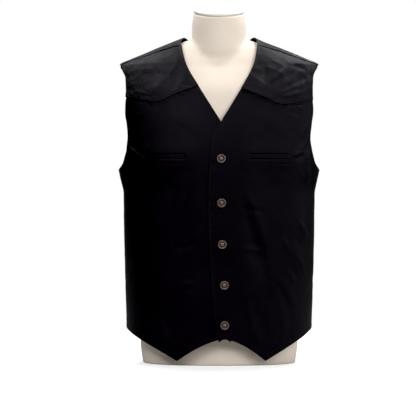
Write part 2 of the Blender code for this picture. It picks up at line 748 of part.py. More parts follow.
def form_ring(z, turns):
    """One ring of the form: the torso's section joined to the neck's by a soft fillet."""
    neck_width, neck_front, neck_back, middle, slope = (
        column(NECK_SECTIONS, "height", name, z)
        for name in ("half_width", "front_reach", "back_reach", "middle", "slope")
    )
    slope = slope / MM  # a share, so not in millimetres
    torso_top = FORM_SECTIONS[-1].height * MM
    level = min(z, torso_top)
    half_width, front, back, side = (
        column(FORM_SECTIONS, "height", name, level) for name in ("half_width", "front", "back", "side")
    )
    centre = middle if z > NECK_SECTIONS[1].height * MM else side
    sine, cosine = np.sin(turns), np.cos(turns)
    reach = np.where(cosine >= 0, centre - front, back - centre)
    torso = (np.abs(sine / half_width) ** ROUNDNESS + np.abs(cosine / reach) ** ROUNDNESS) ** (-1 / ROUNDNESS)
    torso = np.zeros_like(torso) if z > torso_top else torso
    neck_reach = np.where(cosine >= 0, neck_front, neck_back)
    neck = ((sine / neck_width) ** 2 + (cosine / neck_reach) ** 2) ** -0.5
    neck = neck * soft_step(z, NECK_SECTIONS[0].height * MM, NECK_SECTIONS[1].height * MM)
    radius = (torso**NECK_BLEND + neck**NECK_BLEND) ** (1 / NECK_BLEND)
    y = centre - radius * cosine
    return np.stack([radius * sine, y, z + slope * (y - centre)], axis=-1)


def form_heights():
    """Heights of the form's rings: even up the torso, closer over the shoulders, even up the neck."""
    return steps_through([stop * MM for stop in FORM_RING_STOPS], FORM_RING_STEPS)


def add_form(collection):
    """The torso and neck, lofted through their rings and closed by a flat base and a sloped top."""
    turns = np.linspace(0, 2 * math.pi, FORM_SIDES, endpoint=False)
    bm = bmesh.new()
    rings = []
    for z in form_heights():
        ring = [bm.verts.new(point) for point in form_ring(z, turns)]
        for vert, after in zip(ring, ring[1:] + ring[:1]):
            bm.edges.new((vert, after))
        rings.append(ring)
    bmesh.ops.bridge_loops(bm, edges=list(bm.edges), use_pairs=False)
    bmesh.ops.holes_fill(bm, edges=[edge for edge in bm.edges if edge.is_boundary])
    bmesh.ops.recalc_face_normals(bm, faces=list(bm.faces))
    mesh = bpy.data.meshes.new("form_torso")
    bm.to_mesh(mesh)
    bm.free()
    return add_object("form_torso", mesh, CREAM_JERSEY, collection)


def add_form_cap(collection):
    """A low domed plate that closes the sloped top of the neck."""
    cap = turned_mesh_object("form_cap", CAP_PROFILE, CAP_STEPS, PALE_CAP, collection)
    top = NECK_SECTIONS[-1]
    tilt = math.atan(top.slope)
    cap.location = (
        0.0,
        top.middle * MM - SEAM_GAP * math.sin(tilt),
        top.height * MM + SEAM_GAP * math.cos(tilt),
    )
    cap.rotation_euler = (tilt, 0.0, 0.0)
    return cap


def main():
    clear_scene()
    collection = bpy.data.collections.new("western_vest_on_dress_form")
    bpy.context.scene.collection.children.link(collection)
    add_form(collection)
    add_form_cap(collection)
    add_back(collection)
    for side in ("left", "right"):
        add_front(side, collection)
        add_yoke(side, collection)
        add_welt(side, collection)
    for number, height in enumerate(BUTTON_HEIGHTS, start=1):
        add_button(number, height, collection)


main()
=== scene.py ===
"""A black western vest worn by a cream dress form, dressed over its solids for a studio picture.

Metres, +Z up. The front faces -Y and the wearer's left is at +X. Tables are in millimetres.
The cloth is cut from the same body surface as the solids, in fine panels with their creases,
turned edges, seams and stitches.
"""

import math
from collections import namedtuple

import bpy
import numpy as np
from mathutils import Matrix, Vector
from mathutils.kdtree import KDTree


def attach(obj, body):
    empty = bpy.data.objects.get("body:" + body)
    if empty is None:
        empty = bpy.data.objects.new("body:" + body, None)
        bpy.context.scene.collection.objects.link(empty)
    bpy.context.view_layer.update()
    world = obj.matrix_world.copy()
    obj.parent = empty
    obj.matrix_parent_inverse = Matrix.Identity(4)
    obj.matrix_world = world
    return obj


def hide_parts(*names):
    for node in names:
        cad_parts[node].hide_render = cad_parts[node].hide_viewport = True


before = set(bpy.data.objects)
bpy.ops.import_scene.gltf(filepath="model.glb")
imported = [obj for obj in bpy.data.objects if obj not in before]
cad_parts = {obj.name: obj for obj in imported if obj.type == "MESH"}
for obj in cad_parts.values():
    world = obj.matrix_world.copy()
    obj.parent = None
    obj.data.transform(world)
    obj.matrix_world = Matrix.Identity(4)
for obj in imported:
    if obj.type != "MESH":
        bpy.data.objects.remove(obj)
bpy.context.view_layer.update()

MM = 0.001


def rows(kind, *values):
    """A table whose rows take the names of their columns."""
    return tuple(kind(*row) for row in values)


# Cloth and seams
CLOTH = 1.6 * MM
WELT_CLOTH = 1.2 * MM
RIB_LEAN = math.radians(63)
EDGE_ROUND = (0.5 * MM, 2, 50)  # radius, steps and least angle in degrees
FORM_EDGE_ROUND = (3 * MM, 3, 60)
SEAM_LAP = 0.2 * MM  # the two edges of a plain seam press into each other
YOKE_LIFT = 0.8 * MM
YOKE_LAP = 1.6 * MM  # the yoke's folded edge lies on the front, which dips under it
YOKE_LAP_LIFT = 0.5 * MM
YOKE_LAP_DIP = 0.7 * MM
YOKE_LAP_RUN = 16 * MM
LAP_EDGE = 1.5 * MM
SHOULDER_BAND_LIFT = 0.9 * MM  # the back's edge stands a little over the yoke along the shoulder seam
SHOULDER_BAND_RUN = 15 * MM
WELT_SEAT_GAP = 0.3 * MM
CAP_GAP = 0.3 * MM
OVERLAP_LIFT = 2.5 * MM
OVERLAP_FULL_X, OVERLAP_END_X = 40 * MM, 105 * MM
OVERLAP_FULL_Z, OVERLAP_END_Z = 535 * MM, 590 * MM

# Level sections of the body surface: half width, then where front, back and side line lie in Y
Section = namedtuple("Section", "height half_width front back side")
ROUNDNESS = 2.3
VEST_SECTIONS = rows(
    Section,
    (0, 203, -112, 119, 5), (80, 206, -115, 120, 5), (180, 209, -120, 118, 5), (300, 212, -126, 120, 5),
    (375, 213, -129, 125, 6), (428, 223, -130, 130, 8), (470, 227, -129, 134, 10),
    (520, 229, -124, 136, 12), (590, 235, -104, 130, 13), (643, 238, -73, 114, 15),
    (660, 233, -61, 105.6, 15), (672, 208, -53, 98, 15), (685, 177, -43, 88.6, 15),
    (707, 122, -26, 67.5, 15), (721, 87, -15, 46, 14), (732, 57, -5, 34, 14), (753, 4, 9, 19, 14),
)
FORM_SECTIONS = rows(
    Section,
    (0, 170, -82, 112, 12), (40, 175, -87, 116, 12), (120, 177, -92, 117, 12), (210, 168, -98, 108, 10),
    (290, 164, -105, 106, 8), (380, 173, -114, 114, 8), (450, 184, -118, 122, 10),
    (520, 188, -112, 126, 12), (590, 190, -94, 121, 13), (643, 189, -65, 107, 15),
    (658, 186, -53, 96, 15), (672, 178, -44, 88, 15), (681, 169, -38, 82, 15),
    (687.5, 160, -33, 77, 15), (696.5, 141, -27, 69, 15), (704, 121, -21, 60, 15),
    (716, 77, -9, 36, 15), (730, 36, 4, 24, 14),
)
NeckSection = namedtuple("NeckSection", "height half_width front_reach back_reach middle slope")
NECK_SECTIONS = rows(
    NeckSection,
    (600, 62, 68, 48, 15, 0.0), (697, 61, 65, 48, 15, 0.0), (730, 61, 62, 50, 13, 0.10),
    (755, 60, 59, 54, 10, 0.22), (780, 56, 56, 56, 7, 0.287),
)
NECK_START_Z, NECK_FULL_Z = (section.height * MM for section in NECK_SECTIONS[:2])
NECK_BLEND = 15

# Free edge and V neck of the left front, and the line of the buttons
EdgePoint = namedtuple("EdgePoint", "height x")
FRONT_EDGE = rows(
    EdgePoint,
    (53, -1.5), (81, -6), (139, -13.5), (221, -19), (300, -23), (372, -23), (432, -21), (490, -15),
    (524, 0), (557, 19.5), (607, 48.5), (666, 77), (722, 87),
)
CENTRE_FRONT = rows(
    EdgePoint,
    (50, 11.5), (180, 10.5), (265, 6), (355, 4.7), (450, 3.9), (560, 3.2), (722, 0),
)

# Hem
HEM_POINT_X = {"left": 100 * MM, "right": 92 * MM}
HEM_POINT_Z = 12 * MM
HEM_PEAK_Z = 60 * MM
HEM_CORNER_Z = 53 * MM
HEM_SIDE_Z = 80 * MM
HEM_BACK_Z = 76 * MM
HEM_INNER_CURVE = 1.6
HEM_OUTER_CURVE = 1.9

# Front yoke seam
SeamPoint = namedtuple("SeamPoint", "x height")
YOKE_SEAM = rows(
    SeamPoint,
    (40, 612), (101, 587), (120, 578), (138, 574), (163, 577.5), (188, 584), (215, 587),
)
YOKE_SHIFT_Z = {"left": -3 * MM, "right": 3 * MM}

# Armhole, seen from the side: how far its edge runs in front of the side line and behind it
ArmholePoint = namedtuple("ArmholePoint", "height front_reach back_reach")
ARMHOLE = rows(
    ArmholePoint,
    (428, 0, 0), (441, 55, 38), (456, 66, 54), (476, 74, 64), (500, 76, 70), (528, 73, 73.5),
    (550, 69, 74), (590, 66, 71), (627, 56, 61), (653, 40, 44), (666.5, 20, 22), (671.5, 0, 0),
)
UNDERARM_Z = ARMHOLE[0].height * MM
SHOULDER_TIP_Z = ARMHOLE[-1].height * MM
ARMHOLE_MIDDLE_Z = 0.5 * (UNDERARM_Z + SHOULDER_TIP_Z)
ARMHOLE_HALF_Z = 0.5 * (SHOULDER_TIP_Z - UNDERARM_Z)

# Shoulder and back
SHOULDER_FORWARD = 34 * MM
SHOULDER_DIP, SHOULDER_DIP_X, SHOULDER_DIP_WIDTH = 2.2 * MM, 166 * MM, 22 * MM  # the seam sags a little
BACK_NECK_Z = 700 * MM
BACK_SPLIT_Z = 600 * MM
BACK_NECK_SHARE = 0.4
BACK_NECK_COLUMNS = 0.3  # share of the back's columns that end at the neck
BACK_SIDE_ROWS = 11 / 16  # share of the lower back's rows that end at the side seam
FRONT_SIDE_ROWS = 11 / 19  # share of a front's rows that end at the side seam
FRONT_POINT_COLUMNS = 6 / 14  # share of a front's columns inside the hem point

# Ranges in which seams are looked for
SHOULDER_SEAM_RANGE = (640 * MM, 721 * MM)
NECK_POINT_RANGE = (675 * MM, 721 * MM)
RIDGE_RANGE = (655 * MM, 753 * MM)
YOKE_NECK_RANGE = (560 * MM, 660 * MM)
YOKE_ARMHOLE_RANGE = (1.2, 2.4)
TIP_ANGLE_RANGE = (2.0, math.pi)
HALVINGS = 44

# Largest folds, as in the solids: a soft trough (negative) or ridge, with its lean from upright in degrees
Fold = namedtuple("Fold", "x height lean length width rise")
FRONT_FOLDS = {
    "left": rows(
        Fold,
        (66, 292, -17, 190, 20, -2.4), (92, 300, -15, 170, 20, 1.6), (181, 296, -14, 90, 13, 2.2),
        (176, 215, -17, 110, 14, 2.0), (132, 642, 42, 60, 11, 1.8), (163, 639, 47, 55, 10, -1.6),
        (190, 492, 24, 40, 10, -2.6),
    ),
    "right": rows(
        Fold,
        (70, 330, -12, 220, 24, -1.8), (172, 270, -9, 180, 18, 2.0), (150, 640, 38, 55, 12, -1.4),
        (120, 150, -24, 120, 18, 1.6),
    ),
}
FOLDS_START_X = 28 * MM
FOLDS_FULL_X = 75 * MM
BACK_FOLDS = rows(
    Fold,
    (-92, 330, -6, 260, 22, 2.4), (-60, 250, 4, 200, 20, -2.0), (74, 310, 5, 280, 24, 2.2),
    (118, 220, -4, 180, 20, -2.0), (10, 200, 2, 170, 26, 1.8),
)

# Creases: from a place to another, how far the middle bows aside, width and rise
Crease = namedtuple("Crease", "x height to_x to_height bow width rise")
FRONT_CREASES = {
    "left": rows(
        Crease,
        (34, 388, 96, 192, 7, 9, -0.9), (50, 398, 110, 200, 8, 8, 0.8),
        (198, 506, 176, 470, 3, 4.0, 1.7), (201, 486, 168, 450, 4, 4.5, -1.5),
        (196, 468, 152, 452, -3, 4.5, 1.1), (192, 468, 190, 394, 3, 6, 2.0),
        (206, 440, 204, 372, -2, 5, -1.4), (173, 318, 190, 270, 3, 4.6, 1.6),
        (137, 280, 148, 252, 2, 4.4, 1.1), (169, 242, 186, 197, 3, 4.6, 1.5),
        (150, 208, 162, 181, 2, 4.2, 1.1), (118, 190, 152, 108, 6, 7, -1.6),
        (58, 158, 86, 48, -4, 8, 1.3), (142, 122, 126, 34, 5, 9, 1.5), (44, 474, 124, 518, -6, 9, -0.6),
        (70, 548, 152, 498, 8, 10, 0.7), (152, 567, 188, 559, 2, 3.4, 1.2),
        (146, 556, 178, 544, 2, 3.8, -1.0), (42, 258, 100, 246, 3, 6, 0.9),
        (42, 350, 98, 336, -3, 6, -0.9), (112, 616, 142, 646, 2, 5, 1.3),
        (134, 600, 190, 640, -4, 9, -1.5), (176, 606, 200, 622, 6, 5, 0.9),
        (184, 632, 204, 612, -4, 5, -0.5), (134, 587, 190, 600, -3, 3.4, 0.8),
        (144, 593, 178, 606, 2, 3.0, -0.7), (92, 610, 104, 650, -3, 8, -0.8),
        (160, 656, 192, 646, 3, 5, -1.0),
    ),
    "right": rows(
        Crease,
        (46, 402, 88, 236, 9, 10, -0.9), (64, 380, 112, 214, 7, 8, 0.8),
        (200, 500, 170, 462, 4, 4.6, -1.6), (198, 478, 160, 452, 3, 4.2, 1.4),
        (188, 462, 186, 388, -3, 6, 1.7), (204, 446, 206, 366, 2, 5, -1.3),
        (160, 344, 186, 286, 4, 5.2, 1.1), (140, 300, 160, 250, 3, 4.8, -0.9),
        (176, 256, 188, 208, 2, 4.8, 1.1), (132, 214, 152, 160, 4, 5, 1.4),
        (92, 176, 118, 70, 5, 9, -1.5), (136, 118, 118, 36, -5, 8, 1.4), (52, 130, 74, 52, -4, 8, 1.1),
        (40, 480, 110, 530, 6, 10, -0.6), (96, 552, 160, 512, -7, 10, 0.6),
        (44, 268, 96, 260, -3, 6, -0.8), (44, 182, 92, 170, 3, 6, 0.8),
        (150, 664, 122, 630, 3, 6, -0.8), (168, 652, 162, 596, -3, 8, -0.7),
        (186, 654, 140, 652, 4, 6, 0.6), (188, 640, 182, 600, 3, 7, 0.7),
        (142, 596, 128, 644, 4, 8, 0.6), (104, 600, 92, 652, 3, 9, -0.5),
        (154, 592, 192, 598, 2, 3.4, 0.5),
    ),
}
BACK_CREASES = rows(
    Crease,
    (-176, 476, -72, 424, 12, 10, 1.6), (-184, 452, -92, 380, 10, 9, -1.5),
    (174, 482, 60, 436, -12, 10, 1.5), (182, 458, 104, 366, -9, 8, -1.5),
    (-140, 566, -50, 540, 9, 11, -1.1), (132, 572, 44, 536, -8, 11, 1.1),
    (-168, 356, -110, 292, 6, 7, 1.6), (-150, 300, -84, 266, 4, 6, -1.2),
    (166, 338, 112, 270, -6, 7, 1.7), (146, 282, 78, 250, -5, 6, -1.2), (-40, 340, 36, 330, 5, 8, 1.0),
    (-30, 304, 52, 300, -6, 7, -1.0), (-128, 206, -140, 84, 5, 10, 1.7),
    (-74, 214, -66, 86, -4, 10, -1.5), (-22, 190, -28, 82, 3, 9, 1.3), (46, 198, 54, 82, -4, 9, -1.4),
    (98, 210, 92, 84, 4, 10, 1.6), (150, 222, 158, 86, -4, 9, 1.4), (-60, 640, -104, 668, 4, 7, 1.0),
    (70, 634, 112, 664, -4, 7, -1.0),
)
CREASE_ENDS = (-0.12, 0.34)
CREASE_START_WIDTH, CREASE_WIDENING = 0.8, 0.4
CREASE_SIDE_SHARE, CREASE_SIDE_WIDTH = 0.42, 1.5
CREASE_SIDES = ((1.9, 1.0), (-2.1, 0.5))  # places, in widths, and shares of the shallow opposites

# Random unevenness: step and height of the swells, and lean in degrees, step and height of fine wrinkles
SWELLS = ((64, 0.55), (26, 0.30))
SWELL_SHIFT, SWELL_RUN = 9.3, 1.35
CRUMPLES = ((-48, 16, 0.55), (28, 23, 0.60), (74, 10, 0.26))
CRUMPLE_RUN = 2.6  # how much longer than wide a wrinkle is
CRUMPLE_SOFT, CRUMPLE_MEAN = 0.03, 0.4
CRUMPLE_WANDER, CRUMPLE_WANDER_STEP, CRUMPLE_SHIFT = 0.8, 3, 3.7
CRUMPLE_DRAW, WANDER_DRAW = 10, 20
CRUMPLE_LEAST, CRUMPLE_BACK = 0.35, 0.6
CRUMPLE_YOKE, CRUMPLE_YOKE_Z = 0.70, (560 * MM, 620 * MM)  # more of them from the yokes up
CRUMPLE_SIDE, CRUMPLE_SIDE_X = 0.5, (110 * MM, 190 * MM)  # and towards the sides
BACK_TURNS = (0.0, 0.25)
BACK_REST_SHARE, BACK_REST_Z = 0.8, (560 * MM, 600 * MM)  # dips are shallow where the back rests on the form
LINE_KNOTS, FIELD_KNOTS = 256, 64

# Sewn edges: how far in the stitches run, and the cloth's relief there, in millimetres where MM is absent
STITCH_INSET = {"front": 6.0, "neck": 6.0, "armhole": 6.5, "hem": 9.0, "back_neck": 6.0}
TURNED_RISE = 0.35
TURNED_START, TURNED_END = -0.5 * MM, 1.5 * MM  # the doubled cloth ends just past the stitches
GROOVE_DEPTH = 0.32
GROOVE_WIDTH = 1.0
PUCKER_STEP = 8.5
PUCKER_RISE = 0.30
PUCKER_REACH = 5.0
PUCKER_LEAN = 0.25
SEAM_DEPTH = 0.8
SEAM_WIDTH = 2.0
SEAM_PUCKER_AT = 3 * MM
SEAM_FADE = 16 * MM
SIDE_KEEPS, SHOULDER_KEEPS, OVERLAP_KEEPS = 0.15, 0.1, 0.12  # share of the creases left at these places
WEAR_RUN = (2.6 * MM, 0.4 * MM)
SEAM_CLEAR, EDGE_CLEAR = 1.0, 0.5  # stitches stop this far from another seam or edge
YOKE_STITCH_ROWS = (2.0, 8.0)
SHOULDER_STITCH_ROWS = (2.0, 8.0)
YOKE_ROW_SHARE, SHOULDER_ROW_SHARE = 0.35, 0.6
SHOULDER_UNEVEN, SHOULDER_TOP_WIDTH = 0.7 * MM, 30 * MM
SHOULDER_UNEVEN_STEP_X, SHOULDER_UNEVEN_STEP_Z = 34 * MM, 60 * MM
YOKE_PUCKER_STEP, YOKE_PUCKER_RISE, YOKE_PUCKER_REACH = 9.5, 0.55, 9.0
YOKE_PUCKER_AT, YOKE_PUCKER_LEAN = 2 * MM, 1.2
POCKET_LIFT = 1.55
POCKET_RUN = 34 * MM
POCKET_LIP = (-0.6 * MM, 0.3 * MM)  # where the cloth steps up at the welt's long edges
POCKET_END = (-7 * MM, -1 * MM)  # and where it closes over the welt's ends
POCKET_STITCH_Z, POCKET_STITCH_DEPTH = 439 * MM, 0.3 * MM
POCKET_STITCH_END = (3 * MM, -2 * MM)
POCKET_STITCH_STEPS = 60

# Chest pocket welts
WELT_INNER_X = {"left": 62 * MM, "right": 71 * MM}
WELT_LENGTH = 95 * MM
WELT_HEIGHT = 10 * MM
WELT_BOTTOM_Z = 450 * MM
WELT_THICK = 1.3 * MM
WELT_END_SINK, WELT_SINK_RUN = 1.1 * MM, (8 * MM, 1 * MM)
WELT_PILLOW, WELT_PILLOW_CURVE, WELT_PILLOW_END = 0.25 * MM, 0.7, 5 * MM
WELT_WAVE, WELT_WAVE_STEP = 0.14 * MM, 9 * MM
WELT_WEAR, WELT_WEAR_RUN = 0.3, (1.6 * MM, 0.2 * MM)
WELT_COLUMNS, WELT_ROWS = 70, 14
WELT_STITCH_ROW, WELT_STITCH_TRIM = 2, 4  # counted in the welt's own rows and columns

# Turned pieces
ProfilePoint = namedtuple("ProfilePoint", "radius rise")
CAP_PROFILE = rows(
    ProfilePoint,
    (55.5, 0.0), (55.5, 4.1), (54.9, 5.8), (53.4, 6.9), (50.5, 7.5), (44.0, 8.2), (36.0, 8.9),
    (27.8, 9.35), (18.0, 9.75), (8.0, 9.95), (2.0, 10.0),
)
BUTTON_HEIGHTS = (450, 355, 265.5, 177.5, 90.5)
BUTTON_SEAT_GAP = 0.35 * MM
BUTTON_PROFILE = rows(
    ProfilePoint,
    (4.2, -1.2), (4.2, 0.1), (8.4, 0.0), (9.3, 0.4), (9.8, 1.2), (9.75, 2.0), (9.3, 2.8), (8.5, 3.25),
    (7.7, 3.2), (6.9, 2.8), (6.3, 2.1), (5.7, 1.75), (5.0, 1.75), (4.4, 2.0), (3.6, 2.6), (2.6, 3.05),
    (1.4, 3.25), (0.5, 3.3),
)
BUTTON_SIDES = 48
BUTTON_SPIN = 1.7
CAP_SIDES = 96
FORM_SIDES, FORM_RINGS = 128, 150
FORM_START_RADIUS = 150 * MM

# Fineness of the panels: steps, bands and spans in millimetres, then counts and sampling steps
FINE_STEP, FINE_BAND = 1.0, 12.0
FRONT_STEP, YOKE_STEP, BACK_STEP = 2.4, 1.4, 3.4
FRONT_SPAN, FRONT_SIDE_SPAN, FRONT_ARMHOLE_SPAN = 320, 375, 185
POCKET_BAND, POCKET_ROWS = 0.30, 60  # share of the height beside the armhole that the pocket takes, and rows
YOKE_SPAN, YOKE_RISE_SPAN = 150, 105
BACK_HALF_SPAN, BACK_LOWER_SPAN, BACK_UPPER_SPAN = 290, 530, 210
CURVE_STEPS = 240
SEAM_KNOTS = 28
SHOULDER_SAMPLES = 60
SHOULDER_TABLE = 150
EDGE_SAMPLE = 0.5 * MM
NORMAL_STEP_TURN, NORMAL_STEP_Z = 1e-3, 0.3 * MM

# Stitches
STITCH_PITCH = 3.4 * MM
STITCH_LENGTH = 2.7 * MM
STITCH_RADIUS = 0.32 * MM
STITCH_LIFT = 0.10 * MM
STITCH_SIDES, STITCH_CUTS = 6, 2
STITCH_BEND, STITCH_TAPER, STITCH_SINK = (0.5, 1.0), 0.35, 0.55 * MM
STITCH_SLANT, STITCH_STRETCH = (-0.06, 0.06), (0.92, 1.05)

# Where the random draws start
BODY_SEED = {"left": 40, "right": 60, "back": 80}
FRONT_SEED = {"left": 100, "right": 200}
YOKE_SEED = {"left": 300, "right": 400}
WELT_SEED = {"left": 620, "right": 640}
SIDE_DRAW, YOKE_DRAW, SHOULDER_DRAW = 5, 6, 7
BACK_TURNED_SEED, BACK_SIDE_SEED, BACK_SHOULDER_SEED, BACK_TOP_SEED = 500, 510, 520, 530
THREAD_SEED = {"front": 700, "yoke": 710, "welt": 720, "back": 730}

# The studio, in metres, with the lens and the sensor in millimetres
CAMERA_PLACE = (-0.0247, -3.63, 0.344)
CAMERA_LENS, SENSOR_WIDTH = 140.9, 36.0
FILM_BLACK = (0.0055, 0.0055, 0.0062)  # light that the film leaves black
WHITE = (1.0, 1.0, 1.0, 1.0)
ROOM_LIGHT = 0.04
Softbox = namedtuple("Softbox", "name place aim size power")
SOFTBOXES = rows(
    Softbox,
    ("key_light", (1.6, -2.1, 1.5), (0.0, 0.0, 0.5), 1.2, 28),
    ("fill_light", (-0.9, -2.6, 2.2), (0.0, 0.0, 0.6), 1.2, 53),
    ("right_light", (2.4, -0.2, 1.0), (0.0, 0.0, 0.4), 1.0, 14),
    ("top_right_light", (0.8, 0.5, 2.1), (0.1, 0.0, 0.65), 0.7, 33),
    ("top_left_light", (-0.8, 0.5, 2.1), (-0.1, 0.0, 0.65), 0.7, 27),
    ("back_light", (0.4, 2.7, 1.2), (0.0, 0.0, 0.35), 1.2, 40),
)


# Curves and sections

def monotone(knots, values, at):
    """Smooth curve through a table's values that never overshoots them."""
    knots = np.asarray(knots, float)
    values = np.asarray(values, float)
    step = np.diff(knots)
    slope = np.diff(values) / step
    tangent = np.empty_like(values)
    tangent[0], tangent[-1] = slope[0], slope[-1]
    before, after = slope[:-1], slope[1:]
    same_sense = before * after > 0
    weight_before = 2 * step[1:] + step[:-1]
    weight_after = step[1:] + 2 * step[:-1]
    safe_before = np.where(same_sense, before, 1.0)
    safe_after = np.where(same_sense, after, 1.0)
    mean = (weight_before + weight_after) / (weight_before / safe_before + weight_after / safe_after)
    tangent[1:-1] = np.where(same_sense, mean, 0.0)
    index = np.clip(np.searchsorted(knots, at) - 1, 0, len(step) - 1)
    u = (np.asarray(at, float) - knots[index]) / step[index]
    return (
        values[index] * (1 + 2 * u) * (1 - u) ** 2
        + tangent[index] * step[index] * u * (1 - u) ** 2
        + values[index + 1] * u * u * (3 - 2 * u)
        + tangent[index + 1] * step[index] * u * u * (u - 1)
    )


def column(table, key, name, at):
    """One column of a millimetre table, read in metres at the given values of its key column."""
    knots = [getattr(row, key) * MM for row in table]
    values = [getattr(row, name) * MM for row in table]
    return monotone(knots, values, at)


def columns(table, at, *names):
    """Several columns of a table that is read by height."""
    return [column(table, "height", name, at) for name in names]


def eased(share):
    """A share from 0 to 1, with level ends."""
    return share * share * (3 - 2 * share)


def soft_step(value, start, end):
    """0 at start and 1 at end, with level ends."""
    return eased(np.clip((value - start) / (end - start), 0.0, 1.0))


def hump(value, width):
    return np.exp(-((value / width) ** 2))


def faded(kept, share):
    """What is left of a relief: all of it at share 1, and only the kept part at 0."""
    return kept + (1 - kept) * share


def joined(*parts):
    """Arrays of one shape, side by side as coordinates."""
    return np.stack(parts, axis=-1)


def run_lengths(points):
    """Length along a line, at each of its points."""
    steps = np.linalg.norm(np.diff(points, axis=0), axis=1)
    return np.concatenate([[0.0], np.cumsum(steps)])


def read_line(at, knots, line):
    """A line of points with these knots, read at other places."""
    return np.stack([np.interp(at, knots, line[:, i]) for i in range(line.shape[1])], axis=-1)


def vest_section(z):
    """Half width, front reach, back reach and side line of the vest at these heights."""
    half_width, front, back, side = columns(VEST_SECTIONS, z, "half_width", "front", "back", "side")
    return half_width, side - front, back - side, side


def across_share(share):
    """The other coordinate of a section of unit half sizes, for one given as a share of its half size."""
    return (1 - np.clip(np.abs(share), 0, 1) ** ROUNDNESS) ** (1 / ROUNDNESS)


def turn_at_x(x, z):
    """Turn round the section, from the middle of the front, where the front of the vest is at this x."""
    share = x / vest_section(z)[0]
    return np.arctan2(share, across_share(share))


def turn_at_reach(reach, z):
    """Turn where the front (reach above 0) or the back lies this far from the side line."""
    _, front_reach, back_reach, _ = vest_section(z)
    share = np.where(reach >= 0, reach / front_reach, reach / back_reach)
    return np.arctan2(across_share(share), share)


def vest_surface(turn, z):
    """Point of the plain body surface at a turn round the section and a height."""
    half_width, front_reach, back_reach, side = vest_section(z)
    sine, cosine = np.sin(turn), np.cos(turn)
    size = (np.abs(sine) ** ROUNDNESS + np.abs(cosine) ** ROUNDNESS) ** (-1 / ROUNDNESS)
    reach = np.where(cosine >= 0, front_reach, back_reach)
    return joined(half_width * sine * size, side - reach * cosine * size, z + 0 * turn)


def vest_normal(turn, z):
    """Outward direction of the body surface."""
    along = vest_surface(turn + NORMAL_STEP_TURN, z) - vest_surface(turn - NORMAL_STEP_TURN, z)
    up = vest_surface(turn, z + NORMAL_STEP_Z) - vest_surface(turn, z - NORMAL_STEP_Z)
    normal = np.cross(along, up)
    return normal / np.linalg.norm(normal, axis=-1, keepdims=True)


def halved(function, low, high):
    """Where a falling function crosses zero, by halving."""
    for _ in range(HALVINGS):
        middle = 0.5 * (low + high)
        low, high = (middle, high) if function(middle) > 0 else (low, middle)
    return 0.5 * (low + high)


# Seams and edges on the body surface

def armhole_angle_at(z):
    """Angle round the armhole at a height: 0 is the underarm, pi the shoulder tip."""
    return float(np.arccos(np.clip((ARMHOLE_MIDDLE_Z - z) / ARMHOLE_HALF_Z, -1.0, 1.0)))


ARMHOLE_ANGLES = [armhole_angle_at(point.height * MM) for point in ARMHOLE]


def armhole_reach(angle, front):
    name = "front_reach" if front else "back_reach"
    return monotone(ARMHOLE_ANGLES, [getattr(point, name) * MM for point in ARMHOLE], angle)


def armhole_edge(angle, front):
    """Turn and height along the armhole's edge."""
    z = ARMHOLE_MIDDLE_Z - ARMHOLE_HALF_Z * np.cos(angle)
    reach = armhole_reach(angle, front)
    return turn_at_reach(reach if front else -reach, z), z


def armhole_tip_angle(forward):
    """Angle near the shoulder tip where the front edge is this far in front of the side line."""
    return halved(lambda angle: armhole_reach(angle, True) - forward, *TIP_ANGLE_RANGE)


def shoulder_seam_z(x, forward):
    """Height of the line that runs a set distance in front of the shoulder's ridge."""
    forward = forward + SHOULDER_DIP * hump(x - SHOULDER_DIP_X, SHOULDER_DIP_WIDTH)

    def outside(z):
        half_width, front_reach, _, _ = vest_section(z)
        return half_width * across_share(forward / front_reach) - x

    return halved(outside, *SHOULDER_SEAM_RANGE)


def front_edge_x(z, side):
    """Free edge and neck edge of a front, in its own mirrored x."""
    x = column(FRONT_EDGE, "height", "x", z)
    if side == "left":
        return x
    return x - 2 * column(CENTRE_FRONT, "height", "x", z)


def neck_point_z(side, forward):
    """Height where the shoulder seam meets the neck edge."""
    return halved(lambda z: shoulder_seam_z(float(front_edge_x(z, side)), forward) - z, *NECK_POINT_RANGE)


def yoke_seam_z(x, side):
    return column(YOKE_SEAM, "x", "height", x) + YOKE_SHIFT_Z[side]


def yoke_neck_z(side, lap):
    """Height where the line this far below the yoke seam meets the neck edge."""
    return halved(lambda z: yoke_seam_z(front_edge_x(z, side), side) - lap - z, *YOKE_NECK_RANGE)


def yoke_armhole_angle(side, lap):
    """Angle on the armhole's edge where the line this far below the yoke seam ends."""
    def above(angle):
        turn, z = armhole_edge(angle, True)
        return yoke_seam_z(vest_surface(turn, z)[0], side) - lap - z

    return halved(above, *YOKE_ARMHOLE_RANGE)


def inner_hem_z(x, side):
    """Height of a front's hem, from its corner over the peak to the point."""
    point_x = HEM_POINT_X[side]
    peak_x = column(CENTRE_FRONT, "height", "x", HEM_PEAK_Z) * (1 if side == "left" else -1)
    corner_x = front_edge_x(HEM_CORNER_Z, side)
    inward = np.clip((point_x - x) / (point_x - peak_x), 0, 1)
    past_peak = np.clip((peak_x - x) / (peak_x - corner_x), 0, 1)
    rise = (HEM_PEAK_Z - HEM_POINT_Z) * (1 - (1 - inward) ** HEM_INNER_CURVE)
    return HEM_POINT_Z + rise - (HEM_PEAK_Z - HEM_CORNER_Z) * past_peak**2


def outer_hem_z(share):
    """Height of a front's hem, at a share of the way from its point to the side seam."""
    return HEM_POINT_Z + (HEM_SIDE_Z - HEM_POINT_Z) * (1 - (1 - share) ** HEM_OUTER_CURVE)


# Panels as grids of turns and heights

def runs(*parts):
    """Shares from 0 to 1 made of runs, each from one share to the next."""
    return np.concatenate([part[:-1] for part in parts] + [parts[-1][-1:]])


def even(low, high, steps):
    return np.linspace(low, high, steps + 1)


